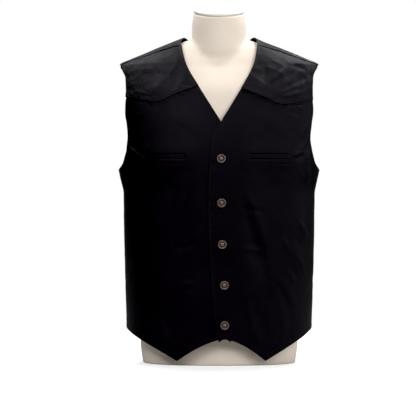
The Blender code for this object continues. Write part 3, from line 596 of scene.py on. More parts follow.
def graded(length, step, fine_start=True, fine_end=True):
    """Shares along a length in millimetres: fine steps in a band at its sewn ends, plain ones between."""
    start = FINE_BAND if fine_start else 0.0
    end = FINE_BAND if fine_end else 0.0
    fine = int(FINE_BAND / FINE_STEP)
    plain = int(round((length - start - end) / step))
    parts = [even(start, length - end, plain)]
    if fine_start:
        parts.insert(0, even(0, FINE_BAND, fine))
    if fine_end:
        parts.append(even(length - FINE_BAND, length, fine))
    return runs(*parts) / length


def spread(shares, low, high):
    return low + (high - low) * shares


def along(curve, shares):
    """A curve of evenly counted points, read at these shares of its way."""
    return read_line(shares, np.linspace(0, 1, len(curve)), curve)


def patch_between(left, right, bottom, top, u, v):
    """Grid of points between four edge curves that share their corners, at these shares across and up."""
    left, right = along(left, v)[:, None], along(right, v)[:, None]
    bottom, top = along(bottom, u)[None], along(top, u)[None]
    u, v = u[None, :, None], v[:, None, None]
    low = (1 - u) * bottom[:, :1] + u * bottom[:, -1:]
    high = (1 - u) * top[:, :1] + u * top[:, -1:]
    return (1 - u) * left + u * right + (1 - v) * bottom + v * top - ((1 - v) * low + v * high)


def two_runs(first, second, share):
    """One curve of evenly counted points from two, of which the first takes this share of the way."""
    low = along(first, even(0, 1, int(CURVE_STEPS * share)))
    high = along(second, even(0, 1, CURVE_STEPS - int(CURVE_STEPS * share)))
    return along(np.concatenate([low[:-1], high]), even(0, 1, CURVE_STEPS))


def front_hem(side):
    """Turn and height along the hem, from the front edge to the side seam."""
    corner_x = float(front_edge_x(HEM_CORNER_Z, side))
    inner_x = even(corner_x, HEM_POINT_X[side], CURVE_STEPS)
    inner_z = inner_hem_z(inner_x, side)
    inner = joined(turn_at_x(inner_x, inner_z), inner_z)
    side_turn = math.pi / 2 + 0.5 * SEAM_LAP / vest_section(HEM_SIDE_Z)[0]
    share = even(0, 1, CURVE_STEPS)
    outer_turn = inner[-1, 0] + (side_turn - inner[-1, 0]) * share
    return two_runs(inner, joined(outer_turn, outer_hem_z(share)), FRONT_POINT_COLUMNS)


def front_places(side, u, v):
    """Turns and heights of a front's grid, in its own mirrored half."""
    hem = front_hem(side)
    neck_z = yoke_neck_z(side, 0.0)
    share = even(0, 1, CURVE_STEPS)
    left_z = np.interp(share, (0, FRONT_SIDE_ROWS, 1), (hem[0, 1], UNDERARM_Z, neck_z))
    left = joined(turn_at_x(front_edge_x(left_z, side), left_z), left_z)
    left[0] = hem[0]
    side_z = spread(share, hem[-1, 1], UNDERARM_Z)
    side_seam = joined(math.pi / 2 + 0.5 * SEAM_LAP / vest_section(side_z)[0], side_z)
    armhole = np.stack(armhole_edge(share * yoke_armhole_angle(side, 0.0), True), axis=-1)
    armhole[0] = side_seam[-1]
    right = two_runs(side_seam, armhole, FRONT_SIDE_ROWS)
    top_x = spread(share, float(front_edge_x(neck_z, side)), vest_surface(*right[-1])[0])
    top_z = yoke_seam_z(top_x, side)
    top = joined(turn_at_x(top_x, top_z), top_z)
    top[0], top[-1] = left[-1], right[-1]
    return patch_between(left, right, hem, top, u, v)


def shoulder_seam_curve(start_x, end_x, forward):
    """Heights of the shoulder seam over a run of x."""
    knots = even(start_x, end_x, SEAM_KNOTS)
    heights = [shoulder_seam_z(float(x), forward) for x in knots]
    x = even(start_x, end_x, CURVE_STEPS)
    return x, monotone(knots, heights, x)


def yoke_places(side, u, v):
    """Turns and heights of a front yoke's grid, worked out in the front view and then turned on."""
    forward = SHOULDER_FORWARD - 0.5 * SEAM_LAP
    share = even(0, 1, CURVE_STEPS)
    left_z = spread(share, yoke_neck_z(side, YOKE_LAP), neck_point_z(side, forward))
    left = joined(front_edge_x(left_z, side), left_z)
    angles = spread(share, yoke_armhole_angle(side, YOKE_LAP), armhole_tip_angle(forward))
    edge_turn, edge_z = armhole_edge(angles, True)
    right = joined(vest_surface(edge_turn, edge_z)[:, 0], edge_z)
    low_x = spread(share, left[0, 0], right[0, 0])
    bottom = joined(low_x, yoke_seam_z(low_x, side) - YOKE_LAP)
    top = np.stack(shoulder_seam_curve(left[-1, 0], right[-1, 0], forward), axis=-1)
    bottom[0], bottom[-1] = left[0], right[0]
    top[0], top[-1] = left[-1], right[-1]
    grid = patch_between(left, right, bottom, top, u, v)
    return joined(turn_at_x(grid[..., 0], grid[..., 1]), grid[..., 1])


def over_shoulder(x):
    """Length, turn and height along the upright cut at x: up the back from the split, and down the front."""
    ridge = halved(lambda z: vest_section(z)[0] - x, *RIDGE_RANGE)
    swing = np.linspace(0, math.pi / 2, SHOULDER_SAMPLES)
    back_z = BACK_SPLIT_Z + (ridge - BACK_SPLIT_Z) * np.sin(swing)
    front_z = back_z[::-1][1:]
    turn = np.concatenate([math.pi - turn_at_x(x, back_z), turn_at_x(x, front_z)])
    z = np.concatenate([back_z, front_z])
    return run_lengths(vest_surface(turn, z)), turn, z


def ridge_height(x):
    """Height of the shoulder's ridge over these places across."""
    upper = [section for section in VEST_SECTIONS if section.height * MM >= RIDGE_RANGE[0]][::-1]
    widths = [section.half_width * MM for section in upper]
    heights = [section.height * MM for section in upper]
    return np.interp(np.abs(x), widths, heights)


def length_over_shoulder(x, z, in_front):
    """Length along the upright cut at x to this height, behind the ridge or in front of it."""
    length, _, heights = over_shoulder(x)
    top = SHOULDER_SAMPLES - 1
    if in_front:
        return float(np.interp(-z, -heights[top:], length[top:]))
    return float(np.interp(z, heights[: top + 1], length[: top + 1]))


def back_side_edge(v):
    """Turn and height of the back's side edge: the side seam, then the armhole up to the split."""
    side_share = np.clip(v / BACK_SIDE_ROWS, 0, 1)
    side_z = spread(side_share, HEM_SIDE_Z, UNDERARM_Z)
    side_turn = math.pi / 2 - 0.5 * SEAM_LAP / vest_section(side_z)[0]
    arm_share = np.clip((v - BACK_SIDE_ROWS) / (1 - BACK_SIDE_ROWS), 0, 1)
    arm_turn, arm_z = armhole_edge(arm_share * armhole_angle_at(BACK_SPLIT_Z), False)
    on_side = v <= BACK_SIDE_ROWS
    return np.where(on_side, side_turn, arm_turn), np.where(on_side, side_z, arm_z)


def back_lower_places(share, v):
    """Turns and heights of the back's half, from the hem to the split."""
    edge_turn, edge_z = (part[:, None] for part in back_side_edge(v))
    middle_z = spread(v, HEM_BACK_Z, BACK_SPLIT_Z)[:, None]
    split_x = vest_surface(edge_turn[-1], edge_z[-1])[0, 0] * share
    split_turn = math.pi - turn_at_x(split_x, BACK_SPLIT_Z)
    height = v[:, None] ** 2
    plain = math.pi + (edge_turn - math.pi) * share
    bent = math.pi + (edge_turn - math.pi) * (math.pi - split_turn) / (math.pi - split_turn[-1])
    turn = (1 - height) * plain + height * bent
    return joined(turn, middle_z + (edge_z - middle_z) * share**2)


def back_upper_edges(split_row):
    """The four edges over the shoulder, as x and length from the split."""
    forward = SHOULDER_FORWARD + 0.5 * SEAM_LAP
    split_x = vest_surface(split_row[:, 0], split_row[:, 1])[:, 0]
    bottom = joined(split_x, np.zeros_like(split_x))
    past_tip_angle = 2 * math.pi - armhole_tip_angle(forward)
    right = []
    for angle in even(armhole_angle_at(BACK_SPLIT_Z), past_tip_angle, 2 * SEAM_KNOTS):
        past_tip = angle > math.pi
        turn, z = armhole_edge(2 * math.pi - angle if past_tip else angle, past_tip)
        x = vest_surface(turn, z)[0]
        right.append((x, length_over_shoulder(x, z, past_tip)))
    right = np.array(right)
    right[0] = bottom[-1]
    middle_length = length_over_shoulder(0.0, BACK_NECK_Z, False)
    left = np.array([(0.0, 0.0), (0.0, middle_length)])
    neck_z = neck_point_z("left", forward)
    neck_x = float(front_edge_x(neck_z, "left"))
    neck_length = length_over_shoulder(neck_x, neck_z, True)
    swing = even(0, math.pi / 2, CURVE_STEPS)
    neck = joined(neck_x * np.sin(swing), neck_length - (neck_length - middle_length) * np.cos(swing))
    seam_x = even(neck_x, right[-1, 0], SEAM_KNOTS)
    seam = np.array([(x, length_over_shoulder(x, shoulder_seam_z(x, forward), True)) for x in seam_x])
    seam[0], seam[-1] = neck[-1], right[-1]
    return left, right, bottom, two_runs(neck, seam, BACK_NECK_COLUMNS)


def back_upper_places(split_row, u, v):
    """Turns and heights from the split over the shoulder to the shoulder seam."""
    left, right, bottom, top = back_upper_edges(split_row)
    bottom = read_line(np.linspace(0, 1, len(bottom)), u, bottom)
    grid = patch_between(left, right, bottom, top, u, v)
    x, length = grid[..., 0], grid[..., 1]
    table_x = np.linspace(0.0, float(x.max()), SHOULDER_TABLE + 1)
    index = np.clip((x / table_x[1]).astype(int), 0, SHOULDER_TABLE - 1)
    share = x / table_x[1] - index
    places = np.zeros_like(grid)
    for number, cut_x in enumerate(table_x):
        cut_length, cut_turn, cut_z = over_shoulder(float(cut_x))
        weight = np.where(index == number, 1 - share, np.where(index == number - 1, share, 0.0))
        near = weight > 0
        for i, values in enumerate((cut_turn, cut_z)):
            places[..., i][near] += weight[near] * np.interp(length[near], cut_length, values)
    return places


def back_places(u, lower_v, upper_v):
    """Turns and heights of the whole back, from the wearer's right to the left."""
    share = np.interp(u, (0, BACK_NECK_COLUMNS, 1), (0, BACK_NECK_SHARE, 1))
    lower = back_lower_places(share, lower_v)
    half = np.concatenate([lower, back_upper_places(lower[-1], u, upper_v)[1:]])
    mirrored = half[:, :0:-1].copy()
    mirrored[..., 0] = 2 * math.pi - mirrored[..., 0]
    return np.concatenate([mirrored, half], axis=1)


# Relief of the cloth

def no_rise(x, z):
    return np.zeros(np.broadcast(x, z).shape)


def fold_rise(folds, x, z):
    """Height of the large folds at a place on a panel."""
    rise = no_rise(x, z)
    for fold in folds:
        lean = math.radians(fold.lean)
        right, up = x - fold.x * MM, z - fold.height * MM
        across = right * math.cos(lean) - up * math.sin(lean)
        lengthwise = right * math.sin(lean) + up * math.cos(lean)
        spread_out = (across / (fold.width * MM)) ** 2 + (lengthwise / (0.5 * fold.length * MM)) ** 2
        rise = rise + fold.rise * MM * np.exp(-spread_out)
    return rise


def crease_rise(creases, x, z):
    """Height of the creases: each is a soft ridge or trough with a shallower opposite beside it."""
    rise = no_rise(x, z)
    for crease in creases:
        run = np.array([crease.to_x - crease.x, crease.to_height - crease.height]) * MM
        length = np.linalg.norm(run)
        way = run / length
        right, up = x - crease.x * MM, z - crease.height * MM
        share = (right * way[0] + up * way[1]) / length
        across = up * way[0] - right * way[1] - 4 * crease.bow * MM * share * (1 - share)
        strength = soft_step(share, *CREASE_ENDS) * soft_step(1 - share, *CREASE_ENDS)
        width = crease.width * MM * (CREASE_START_WIDTH + CREASE_WIDENING * np.clip(share, 0, 1))
        side_width = CREASE_SIDE_WIDTH * width
        beside = sum(part * hump(across - at * width, side_width) for at, part in CREASE_SIDES)
        rise = rise + crease.rise * MM * strength * (hump(across, width) - CREASE_SIDE_SHARE * beside)
    return rise


def soft_line(values, seed):
    """Smooth random curve between -1 and 1, with one knot per unit."""
    table = np.random.default_rng(seed).uniform(-1, 1, LINE_KNOTS)
    index = np.floor(values).astype(int)
    share = eased(values - index)
    return table[index % LINE_KNOTS] * (1 - share) + table[(index + 1) % LINE_KNOTS] * share


def soft_field(x, z, seed):
    """Smooth random swell between -1 and 1, with one knot per unit each way."""
    table = np.random.default_rng(seed).uniform(-1, 1, (FIELD_KNOTS, FIELD_KNOTS))
    col, row = np.floor(x).astype(int), np.floor(z).astype(int)
    u, v = eased(x - col), eased(z - row)

    def level(knot):
        line = table[knot % FIELD_KNOTS, col % FIELD_KNOTS]
        next_line = table[knot % FIELD_KNOTS, (col + 1) % FIELD_KNOTS]
        return line * (1 - u) + next_line * u

    return level(row) * (1 - v) + level(row + 1) * v


def swell_rise(x, z, seed):
    """Slight unevenness of worn cloth, in two sizes."""
    rise = no_rise(x, z)
    for number, (step, height) in enumerate(SWELLS):
        step = step * MM
        rise = rise + height * MM * soft_field(x / step + SWELL_SHIFT, z / (step * SWELL_RUN), seed + number)
    return rise


def crumple_rise(x, z, seed):
    """Fine wrinkles of stiff cloth: soft ridges that wander, in a few directions."""
    rise = no_rise(x, z)
    for number, (lean, step, height) in enumerate(CRUMPLES):
        lean, step = math.radians(lean), step * MM
        across = (x * math.cos(lean) - z * math.sin(lean)) / step
        lengthwise = (x * math.sin(lean) + z * math.cos(lean)) / (CRUMPLE_RUN * step)
        wander = soft_field(across / CRUMPLE_WANDER_STEP, lengthwise, seed + WANDER_DRAW + number)
        across = across + CRUMPLE_WANDER * wander
        field = soft_field(across, lengthwise + CRUMPLE_SHIFT, seed + CRUMPLE_DRAW + number)
        ridge = (1 - np.sqrt(field * field + CRUMPLE_SOFT)) ** 2
        rise = rise + height * MM * (ridge - CRUMPLE_MEAN)
    return rise


def overlap_rise(x, z, side):
    """The left front lies on the right one near the middle."""
    if side == "right":
        return no_rise(x, z)
    near = soft_step(x, OVERLAP_END_X, OVERLAP_FULL_X)
    return OVERLAP_LIFT * near * soft_step(z, OVERLAP_END_Z, OVERLAP_FULL_Z)


def front_base_rise(x, z, side):
    """The solids' own rise of a front: its overlap and largest folds."""
    folds = soft_step(x, FOLDS_START_X, FOLDS_FULL_X) * fold_rise(FRONT_FOLDS[side], x, z)
    return overlap_rise(x, z, side) + folds


Reach = namedtuple("Reach", "distance place")


def reach_from(points, edge):
    """Distance of each point from an edge, and how far along the edge its nearest place lies."""
    run = run_lengths(edge)
    places = np.linspace(0, run[-1], int(run[-1] / EDGE_SAMPLE) + 2)
    fine = read_line(places, run, edge)
    tree = KDTree(len(fine))
    for number, point in enumerate(fine.tolist()):
        tree.insert(point, number)
    tree.balance()
    found = [tree.find(point) for point in points.reshape(-1, 3).tolist()]
    distance = np.array([item[2] for item in found]).reshape(points.shape[:2])
    return Reach(distance, places[[item[1] for item in found]].reshape(points.shape[:2]))


def reaches_from(points, **edges):
    """How far the points lie from each of these named edges."""
    return {name: reach_from(points, edge) for name, edge in edges.items()}


def turned_edge_rise(reach, inset, seed):
    """A turned and stitched edge: doubled cloth up to the stitches, a groove under them, small puckers."""
    distance, place = reach
    inset = inset * MM
    doubled = TURNED_RISE * MM * soft_step(distance, inset + TURNED_END, inset + TURNED_START)
    groove = GROOVE_DEPTH * MM * hump(distance - inset, GROOVE_WIDTH * MM)
    step = PUCKER_STEP * MM
    wave = soft_line(place / step + PUCKER_LEAN * distance / step, seed)
    pucker = PUCKER_RISE * MM * wave * hump(distance - inset, PUCKER_REACH * MM)
    return doubled - groove + pucker


def seam_rise(reach, seed):
    """A plain seam: the cloth dips into it, with small puckers beside it."""
    distance, place = reach
    wave = soft_line(place / (PUCKER_STEP * MM), seed)
    pucker = PUCKER_RISE * MM * wave * hump(distance - SEAM_PUCKER_AT, PUCKER_REACH * MM)
    return pucker - SEAM_DEPTH * MM * hump(distance, SEAM_WIDTH * MM)


def yoke_pucker_rise(reach, seed, lean):
    """Short slanting puckers beside the yoke seam."""
    distance, place = reach
    wave = soft_line((place + lean * distance) / (YOKE_PUCKER_STEP * MM), seed)
    return YOKE_PUCKER_RISE * MM * wave * hump(distance - YOKE_PUCKER_AT, YOKE_PUCKER_REACH * MM)


def seam_fade(distance, kept):
    """How far creases flatten towards a seam."""
    return faded(kept, soft_step(distance, 0, SEAM_FADE))


def pocket_mouth_rise(x, z, side):
    """The cloth stands up round the welt, closes over its ends and dips under the stitches below it."""
    half_length, half_height = 0.5 * WELT_LENGTH, 0.5 * WELT_HEIGHT
    past_end = np.abs(x - WELT_INNER_X[side] - half_length) - half_length
    past_edge = np.abs(z - WELT_BOTTOM_Z - half_height) - half_height
    outside = np.hypot(np.maximum(past_end, 0), np.maximum(past_edge, 0))
    round_welt = np.maximum(soft_step(past_edge, *POCKET_LIP), soft_step(past_end, *POCKET_END))
    lift = soft_step(outside, POCKET_RUN, 0) * round_welt
    under_stitch = hump(z - POCKET_STITCH_Z, GROOVE_WIDTH * MM) * soft_step(past_end, *POCKET_STITCH_END)
    return POCKET_LIFT * MM * lift - POCKET_STITCH_DEPTH * under_stitch


# Cloth objects

Panel = namedtuple("Panel", "points normals reaches")


def grid_normals(points, mirrored):
    normal = np.cross(np.gradient(points, axis=1), np.gradient(points, axis=0))
    normal = normal / np.linalg.norm(normal, axis=-1, keepdims=True)
    return -normal if mirrored else normal


def grid_lengths(points):
    """Pattern coordinates of a grid: lengths along its rows and up its columns, from its middle."""
    row_steps = np.linalg.norm(np.diff(points, axis=1), axis=-1)
    column_steps = np.linalg.norm(np.diff(points, axis=0), axis=-1)
    across = np.concatenate([np.zeros((len(points), 1)), np.cumsum(row_steps, axis=1)], axis=1)
    up = np.concatenate([np.zeros((1, points.shape[1])), np.cumsum(column_steps, axis=0)], axis=0)
    middle = points.shape[1] // 2
    return across - across[:, middle : middle + 1], up


def grid_area(points):
    along_row, up = points[:, 1:] - points[:, :-1], points[1:] - points[:-1]
    return float(np.linalg.norm(np.cross(along_row[:-1], up[:, :-1]), axis=-1).sum())


def place_object(name, data):
    """A new object of the scene with this mesh, light or camera."""
    obj = bpy.data.objects.new(name, data)
    bpy.context.scene.collection.objects.link(obj)
    return obj


def round_edges(obj, width, segments, angle):
    """Rounds the edges sharper than an angle in degrees, and applies all the object's modifiers."""
    rounded = obj.modifiers.new("edges", "BEVEL")
    rounded.width = width
    rounded.segments = segments
    rounded.limit_method = "ANGLE"
    rounded.angle_limit = math.radians(angle)
    bpy.ops.object.select_all(action="DESELECT")
    obj.select_set(True)
    bpy.context.view_layer.objects.active = obj
    for modifier in list(obj.modifiers):
        bpy.ops.object.modifier_apply(modifier=modifier.name)


def grid_object(name, points, wear, mirrored, thickness, material):
    """A sheet of cloth laid on a grid of points, with its thickness and its rounded edges."""
    index = np.arange(points[..., 0].size).reshape(points.shape[:2])
    corners = (index[:-1, :-1], index[:-1, 1:], index[1:, 1:], index[1:, :-1])
    faces = np.stack(corners[::-1] if mirrored else corners, axis=-1).reshape(-1, 4)
    mesh = bpy.data.meshes.new(name)
    mesh.from_pydata(points.reshape(-1, 3).tolist(), [], faces.tolist())
    pattern = joined(*grid_lengths(points)).reshape(-1, 2)
    layer = mesh.uv_layers.new(name="pattern")
    layer.data.foreach_set("uv", pattern[faces.reshape(-1)].astype(np.float32).ravel())
    worn = mesh.attributes.new("wear", "FLOAT", "POINT")
    worn.data.foreach_set("value", wear.astype(np.float32).ravel())
    mesh.materials.append(material)
    mesh.shade_smooth()
    obj = place_object(name, mesh)
    solid = obj.modifiers.new("thickness", "SOLIDIFY")
    solid.thickness = thickness
    solid.offset = -1.0
    round_edges(obj, *EDGE_ROUND)
    obj.data.shade_smooth()
    return obj


def edge_wear(reaches, edges):
    """1 on the very edge of the cloth, fading over a few millimetres."""
    nearest = np.minimum.reduce([reaches[edge].distance for edge in edges])
    return soft_step(nearest, *WEAR_RUN)


def dress(obj, slot, *nodes):
    """The piece moves with the object and stands for its solids."""
    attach(obj, "root")
    if nodes:
        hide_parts(*nodes)
    return obj


MIRROR = np.array([-1.0, 1.0, 1.0])


def cloth_points(turn, z, rise, mirrored):
    points = vest_surface(turn, z) + vest_normal(turn, z) * np.asarray(rise)[..., None]
    return points * MIRROR if mirrored else points


def laid_out(places):
    """Turns, heights and plain surface of a grid of places."""
    turn, z = places[..., 0], places[..., 1]
    return turn, z, vest_surface(turn, z)


def body_creases(x, z, side):
    """Creases of a front and its yoke in one, so that they run through their seam."""
    on_yoke = CRUMPLE_YOKE * soft_step(z, *CRUMPLE_YOKE_Z)
    drawn = CRUMPLE_LEAST + np.maximum(on_yoke, CRUMPLE_SIDE * soft_step(x, *CRUMPLE_SIDE_X))
    seed = BODY_SEED[side]
    soft = crease_rise(FRONT_CREASES[side], x, z) + swell_rise(x, z, seed)
    soft = soft + drawn * crumple_rise(x, z, seed)
    return faded(OVERLAP_KEEPS, soft_step(x, FOLDS_START_X, FOLDS_FULL_X)) * soft


def sew_panel(node, side, turn, z, rise, wear, reaches, material, thickness=CLOTH):
    """A panel laid out as cloth that stands for its solid: the right is mirrored, the back faces behind."""
    flipped = side != "left"
    points = cloth_points(turn, z, rise, side == "right")
    obj = grid_object("cloth_" + node, points, wear, flipped, thickness, material)
    dress(obj, "canvas", node)
    return obj, Panel(points, grid_normals(points, flipped), reaches)


def sew_front(side, material):
    """One front with all its relief, from the hem to the yoke seam."""
    low_v = spread(graded(FRONT_SIDE_SPAN, FRONT_STEP, fine_end=False), 0, FRONT_SIDE_ROWS)
    pocket_v = FRONT_SIDE_ROWS + POCKET_BAND * (1 - FRONT_SIDE_ROWS)
    high_span = FRONT_ARMHOLE_SPAN * (1 - POCKET_BAND)
    high_v = spread(graded(high_span, FRONT_STEP, fine_start=False), pocket_v, 1)
    v = runs(low_v, even(FRONT_SIDE_ROWS, pocket_v, POCKET_ROWS), high_v)
    turn, z, plain = laid_out(front_places(side, graded(FRONT_SPAN, FRONT_STEP), v))
    x = plain[..., 0]
    underarm = len(low_v) - 1
    reaches = reaches_from(
        plain,
        front=plain[:, 0],
        side=plain[: underarm + 1, -1],
        armhole=plain[underarm:, -1],
        hem=plain[0],
        yoke=plain[-1],
    )
    turned = ("front", "armhole", "hem")
    seed = FRONT_SEED[side]
    creases = body_creases(x, z, side) * seam_fade(reaches["side"].distance, SIDE_KEEPS)
    rise = front_base_rise(x, z, side) + creases
    for number, edge in enumerate(turned):
        rise = rise + turned_edge_rise(reaches[edge], STITCH_INSET[edge], seed + number)
    rise = rise + seam_rise(reaches["side"], seed + SIDE_DRAW)
    rise = rise + yoke_pucker_rise(reaches["yoke"], seed + YOKE_DRAW, YOKE_PUCKER_LEAN)
    rise = rise - YOKE_LAP_DIP * soft_step(reaches["yoke"].distance, YOKE_LAP_RUN, LAP_EDGE)
    rise = rise + pocket_mouth_rise(x, z, side)
    wear = edge_wear(reaches, turned)
    obj, panel = sew_panel("front_" + side, side, turn, z, rise, wear, reaches, material)
    return obj, panel, grid_area(plain), underarm


def sew_yoke(side, material):
    """One front yoke, lapped and stitched over its front."""
    u, v = graded(YOKE_SPAN, YOKE_STEP), graded(YOKE_RISE_SPAN, YOKE_STEP)
    turn, z, plain = laid_out(yoke_places(side, u, v))
    x = plain[..., 0]
    reaches = reaches_from(plain, neck=plain[:, 0], armhole=plain[:, -1], yoke=plain[0], shoulder=plain[-1])
    seed = YOKE_SEED[side]
    creases = body_creases(x, z, side) * seam_fade(reaches["shoulder"].distance, SHOULDER_KEEPS)
    rise = front_base_rise(x, z, side) + YOKE_LIFT + creases
    rise = rise + YOKE_LAP_LIFT * soft_step(reaches["yoke"].distance, YOKE_LAP_RUN, LAP_EDGE)
    for number, edge in enumerate(("neck", "armhole")):
        rise = rise + turned_edge_rise(reaches[edge], STITCH_INSET[edge], seed + number)
    for number, inset in enumerate(YOKE_STITCH_ROWS, start=2):
        rise = rise + YOKE_ROW_SHARE * turned_edge_rise(reaches["yoke"], inset, seed + number)
    rise = rise + yoke_pucker_rise(reaches["yoke"], seed + YOKE_DRAW, -YOKE_PUCKER_LEAN)
    rise = rise + seam_rise(reaches["shoulder"], seed + SHOULDER_DRAW)
    wear = edge_wear(reaches, ("neck", "armhole", "yoke"))
    obj, panel = sew_panel("yoke_" + side, side, turn, z, rise, wear, reaches, material)
    return obj, panel, grid_area(plain)


def sew_back(material):
    """The back in one piece, from the hem over the shoulders to the shoulder seams."""
    u = graded(BACK_HALF_SPAN, BACK_STEP, fine_start=False)
    side_span = BACK_LOWER_SPAN * BACK_SIDE_ROWS
    side_v = spread(graded(side_span, BACK_STEP, fine_end=False), 0, BACK_SIDE_ROWS)
    arm_v = even(BACK_SIDE_ROWS, 1, int(BACK_LOWER_SPAN * (1 - BACK_SIDE_ROWS) / BACK_STEP))
    upper_v = graded(BACK_UPPER_SPAN, BACK_STEP, fine_start=False)
    turn, z, plain = laid_out(back_places(u, runs(side_v, arm_v), upper_v))
    x = plain[..., 0]
    underarm, neck = len(side_v) - 1, int(np.searchsorted(u, BACK_NECK_COLUMNS))
    middle = len(u) - 1
    reaches = reaches_from(
        plain,
        hem=plain[0],
        side_right=plain[: underarm + 1, 0],
        side_left=plain[: underarm + 1, -1],
        armhole_right=plain[underarm:, 0],
        armhole_left=plain[underarm:, -1],
        back_neck=plain[-1, middle - neck : middle + neck + 1],
        shoulder_right=plain[-1, : middle - neck + 1],
        shoulder_left=plain[-1, middle + neck :],
    )
    seed = BODY_SEED["back"]
    soft = crease_rise(BACK_CREASES, x, z) + swell_rise(x, z, seed) + CRUMPLE_BACK * crumple_rise(x, z, seed)
    soft = soft_step(-np.cos(turn), *BACK_TURNS) * soft
    side_distance = np.minimum(reaches["side_left"].distance, reaches["side_right"].distance)
    soft = soft * seam_fade(side_distance, SIDE_KEEPS)
    soft = np.where(soft < 0, soft * (1 - BACK_REST_SHARE * soft_step(z, *BACK_REST_Z)), soft)
    rise = np.where(np.cos(turn) < 0, fold_rise(BACK_FOLDS, x, z), 0.0) + soft
    turned = {"hem": "hem", "armhole_right": "armhole", "armhole_left": "armhole", "back_neck": "back_neck"}
    for number, (edge, kind) in enumerate(turned.items()):
        rise = rise + turned_edge_rise(reaches[edge], STITCH_INSET[kind], BACK_TURNED_SEED + number)
    for number, edge in enumerate(("side_right", "side_left")):
        rise = rise + seam_rise(reaches[edge], BACK_SIDE_SEED + number)
    for number, edge in enumerate(("shoulder_right", "shoulder_left")):
        rise = rise + SHOULDER_BAND_LIFT * soft_step(reaches[edge].distance, SHOULDER_BAND_RUN, LAP_EDGE)
        for row, inset in enumerate(SHOULDER_STITCH_ROWS):
            draw = BACK_SHOULDER_SEED + 2 * number + row
            rise = rise + SHOULDER_ROW_SHARE * turned_edge_rise(reaches[edge], inset, draw)
    uneven = soft_field(x / SHOULDER_UNEVEN_STEP_X, z / SHOULDER_UNEVEN_STEP_Z, BACK_TOP_SEED)
    rise = rise + hump(z - ridge_height(x), SHOULDER_TOP_WIDTH) * SHOULDER_UNEVEN * (1 + uneven)
    wear = edge_wear(reaches, turned)
    obj, panel = sew_panel("back", "back", turn, z, rise, wear, reaches, material)
    return obj, panel, grid_area(plain), {"underarm": underarm, "neck": neck, "middle": middle}


def sew_welt(side, material):
    """A folded strip over the pocket mouth, with a soft rounded upper edge."""
    inner_x = WELT_INNER_X[side]
    across = inner_x + WELT_LENGTH * even(0, 1, WELT_COLUMNS)
    x, z = np.meshgrid(across, WELT_BOTTOM_Z + WELT_HEIGHT * even(0, 1, WELT_ROWS))
    share = (z - WELT_BOTTOM_Z) / WELT_HEIGHT
    ends = np.minimum(x - inner_x, inner_x + WELT_LENGTH - x)
    pillow = WELT_PILLOW * np.sin(math.pi * np.clip(share, 0, 1)) ** WELT_PILLOW_CURVE
    pillow = pillow * soft_step(ends, 0, WELT_PILLOW_END) - WELT_END_SINK * soft_step(ends, *WELT_SINK_RUN)
    wave = WELT_WAVE * soft_line(x / WELT_WAVE_STEP + share, WELT_SEED[side])
    rise = front_base_rise(x, z, side) + WELT_SEAT_GAP + WELT_THICK + pillow + wave
    wear = WELT_WEAR * soft_step(WELT_BOTTOM_Z + WELT_HEIGHT - z, *WELT_WEAR_RUN)
    turn = turn_at_x(x, z)
    return sew_panel("welt_" + side, side, turn, z, rise, wear, {}, material, WELT_CLOTH)


# Stitches

def lanes(array, end):
    """An array turned so that its rows start at one edge of the panel and run inward."""
    if end in ("bottom", "top"):
        array = np.swapaxes(array, 0, 1)
    return array[:, ::-1] if end in ("right", "top") else array


def inset_line(panel, end, edge, inset, clear=(), first=0, last=None):
    """Points and outward directions along a line that runs this far inside an edge."""
    def cut(array):
        return lanes(array, end)[first:last]

    distance = cut(panel.reaches[edge].distance)
    points, normals = cut(panel.points), cut(panel.normals)
    others = [(cut(panel.reaches[name].distance), least * MM) for name, least in clear]
    half = distance.shape[1] // 2
    found = []
    for lane in range(len(distance)):
        rising = np.maximum.accumulate(distance[lane, :half])
        at = float(np.interp(inset * MM, rising, np.arange(half)))
        low = min(int(at), half - 2)
        share = at - low
        if any(other[lane, low] < least for other, least in others):
            continue
        pair = (points, normals)
        found.append([(1 - share) * part[lane, low] + share * part[lane, low + 1] for part in pair])
    found = np.array(found)
    return found[:, 0], found[:, 1]


def stitched_points(line):
    """Middle, direction and outward direction of each stitch along a line."""
    points, normals = line
    run = run_lengths(points)
    count = max(2, int(run[-1] / STITCH_PITCH))
    at = (np.arange(count) + 0.5) * run[-1] / count
    aside = STITCH_PITCH / 3
    way = read_line(at + aside, run, points) - read_line(at - aside, run, points)
    return read_line(at, run, points), way, read_line(at, run, normals)


def cut_rings(obj, axis, cuts):
    """Cuts a cylinder into rings across this axis."""
    bpy.context.tool_settings.mesh_select_mode = (False, True, False)
    bpy.ops.object.mode_set(mode="EDIT")
    bpy.ops.mesh.select_all(action="DESELECT")
    bpy.ops.object.mode_set(mode="OBJECT")
    for edge in obj.data.edges:
        start, end = (obj.data.vertices[i].co for i in edge.vertices)
        edge.select = abs((end - start)[axis]) > 0.5 * (end - start).length
    bpy.ops.object.mode_set(mode="EDIT")
    bpy.ops.mesh.subdivide_edgering(number_cuts=cuts, interpolation="LINEAR")
    bpy.ops.object.mode_set(mode="OBJECT")


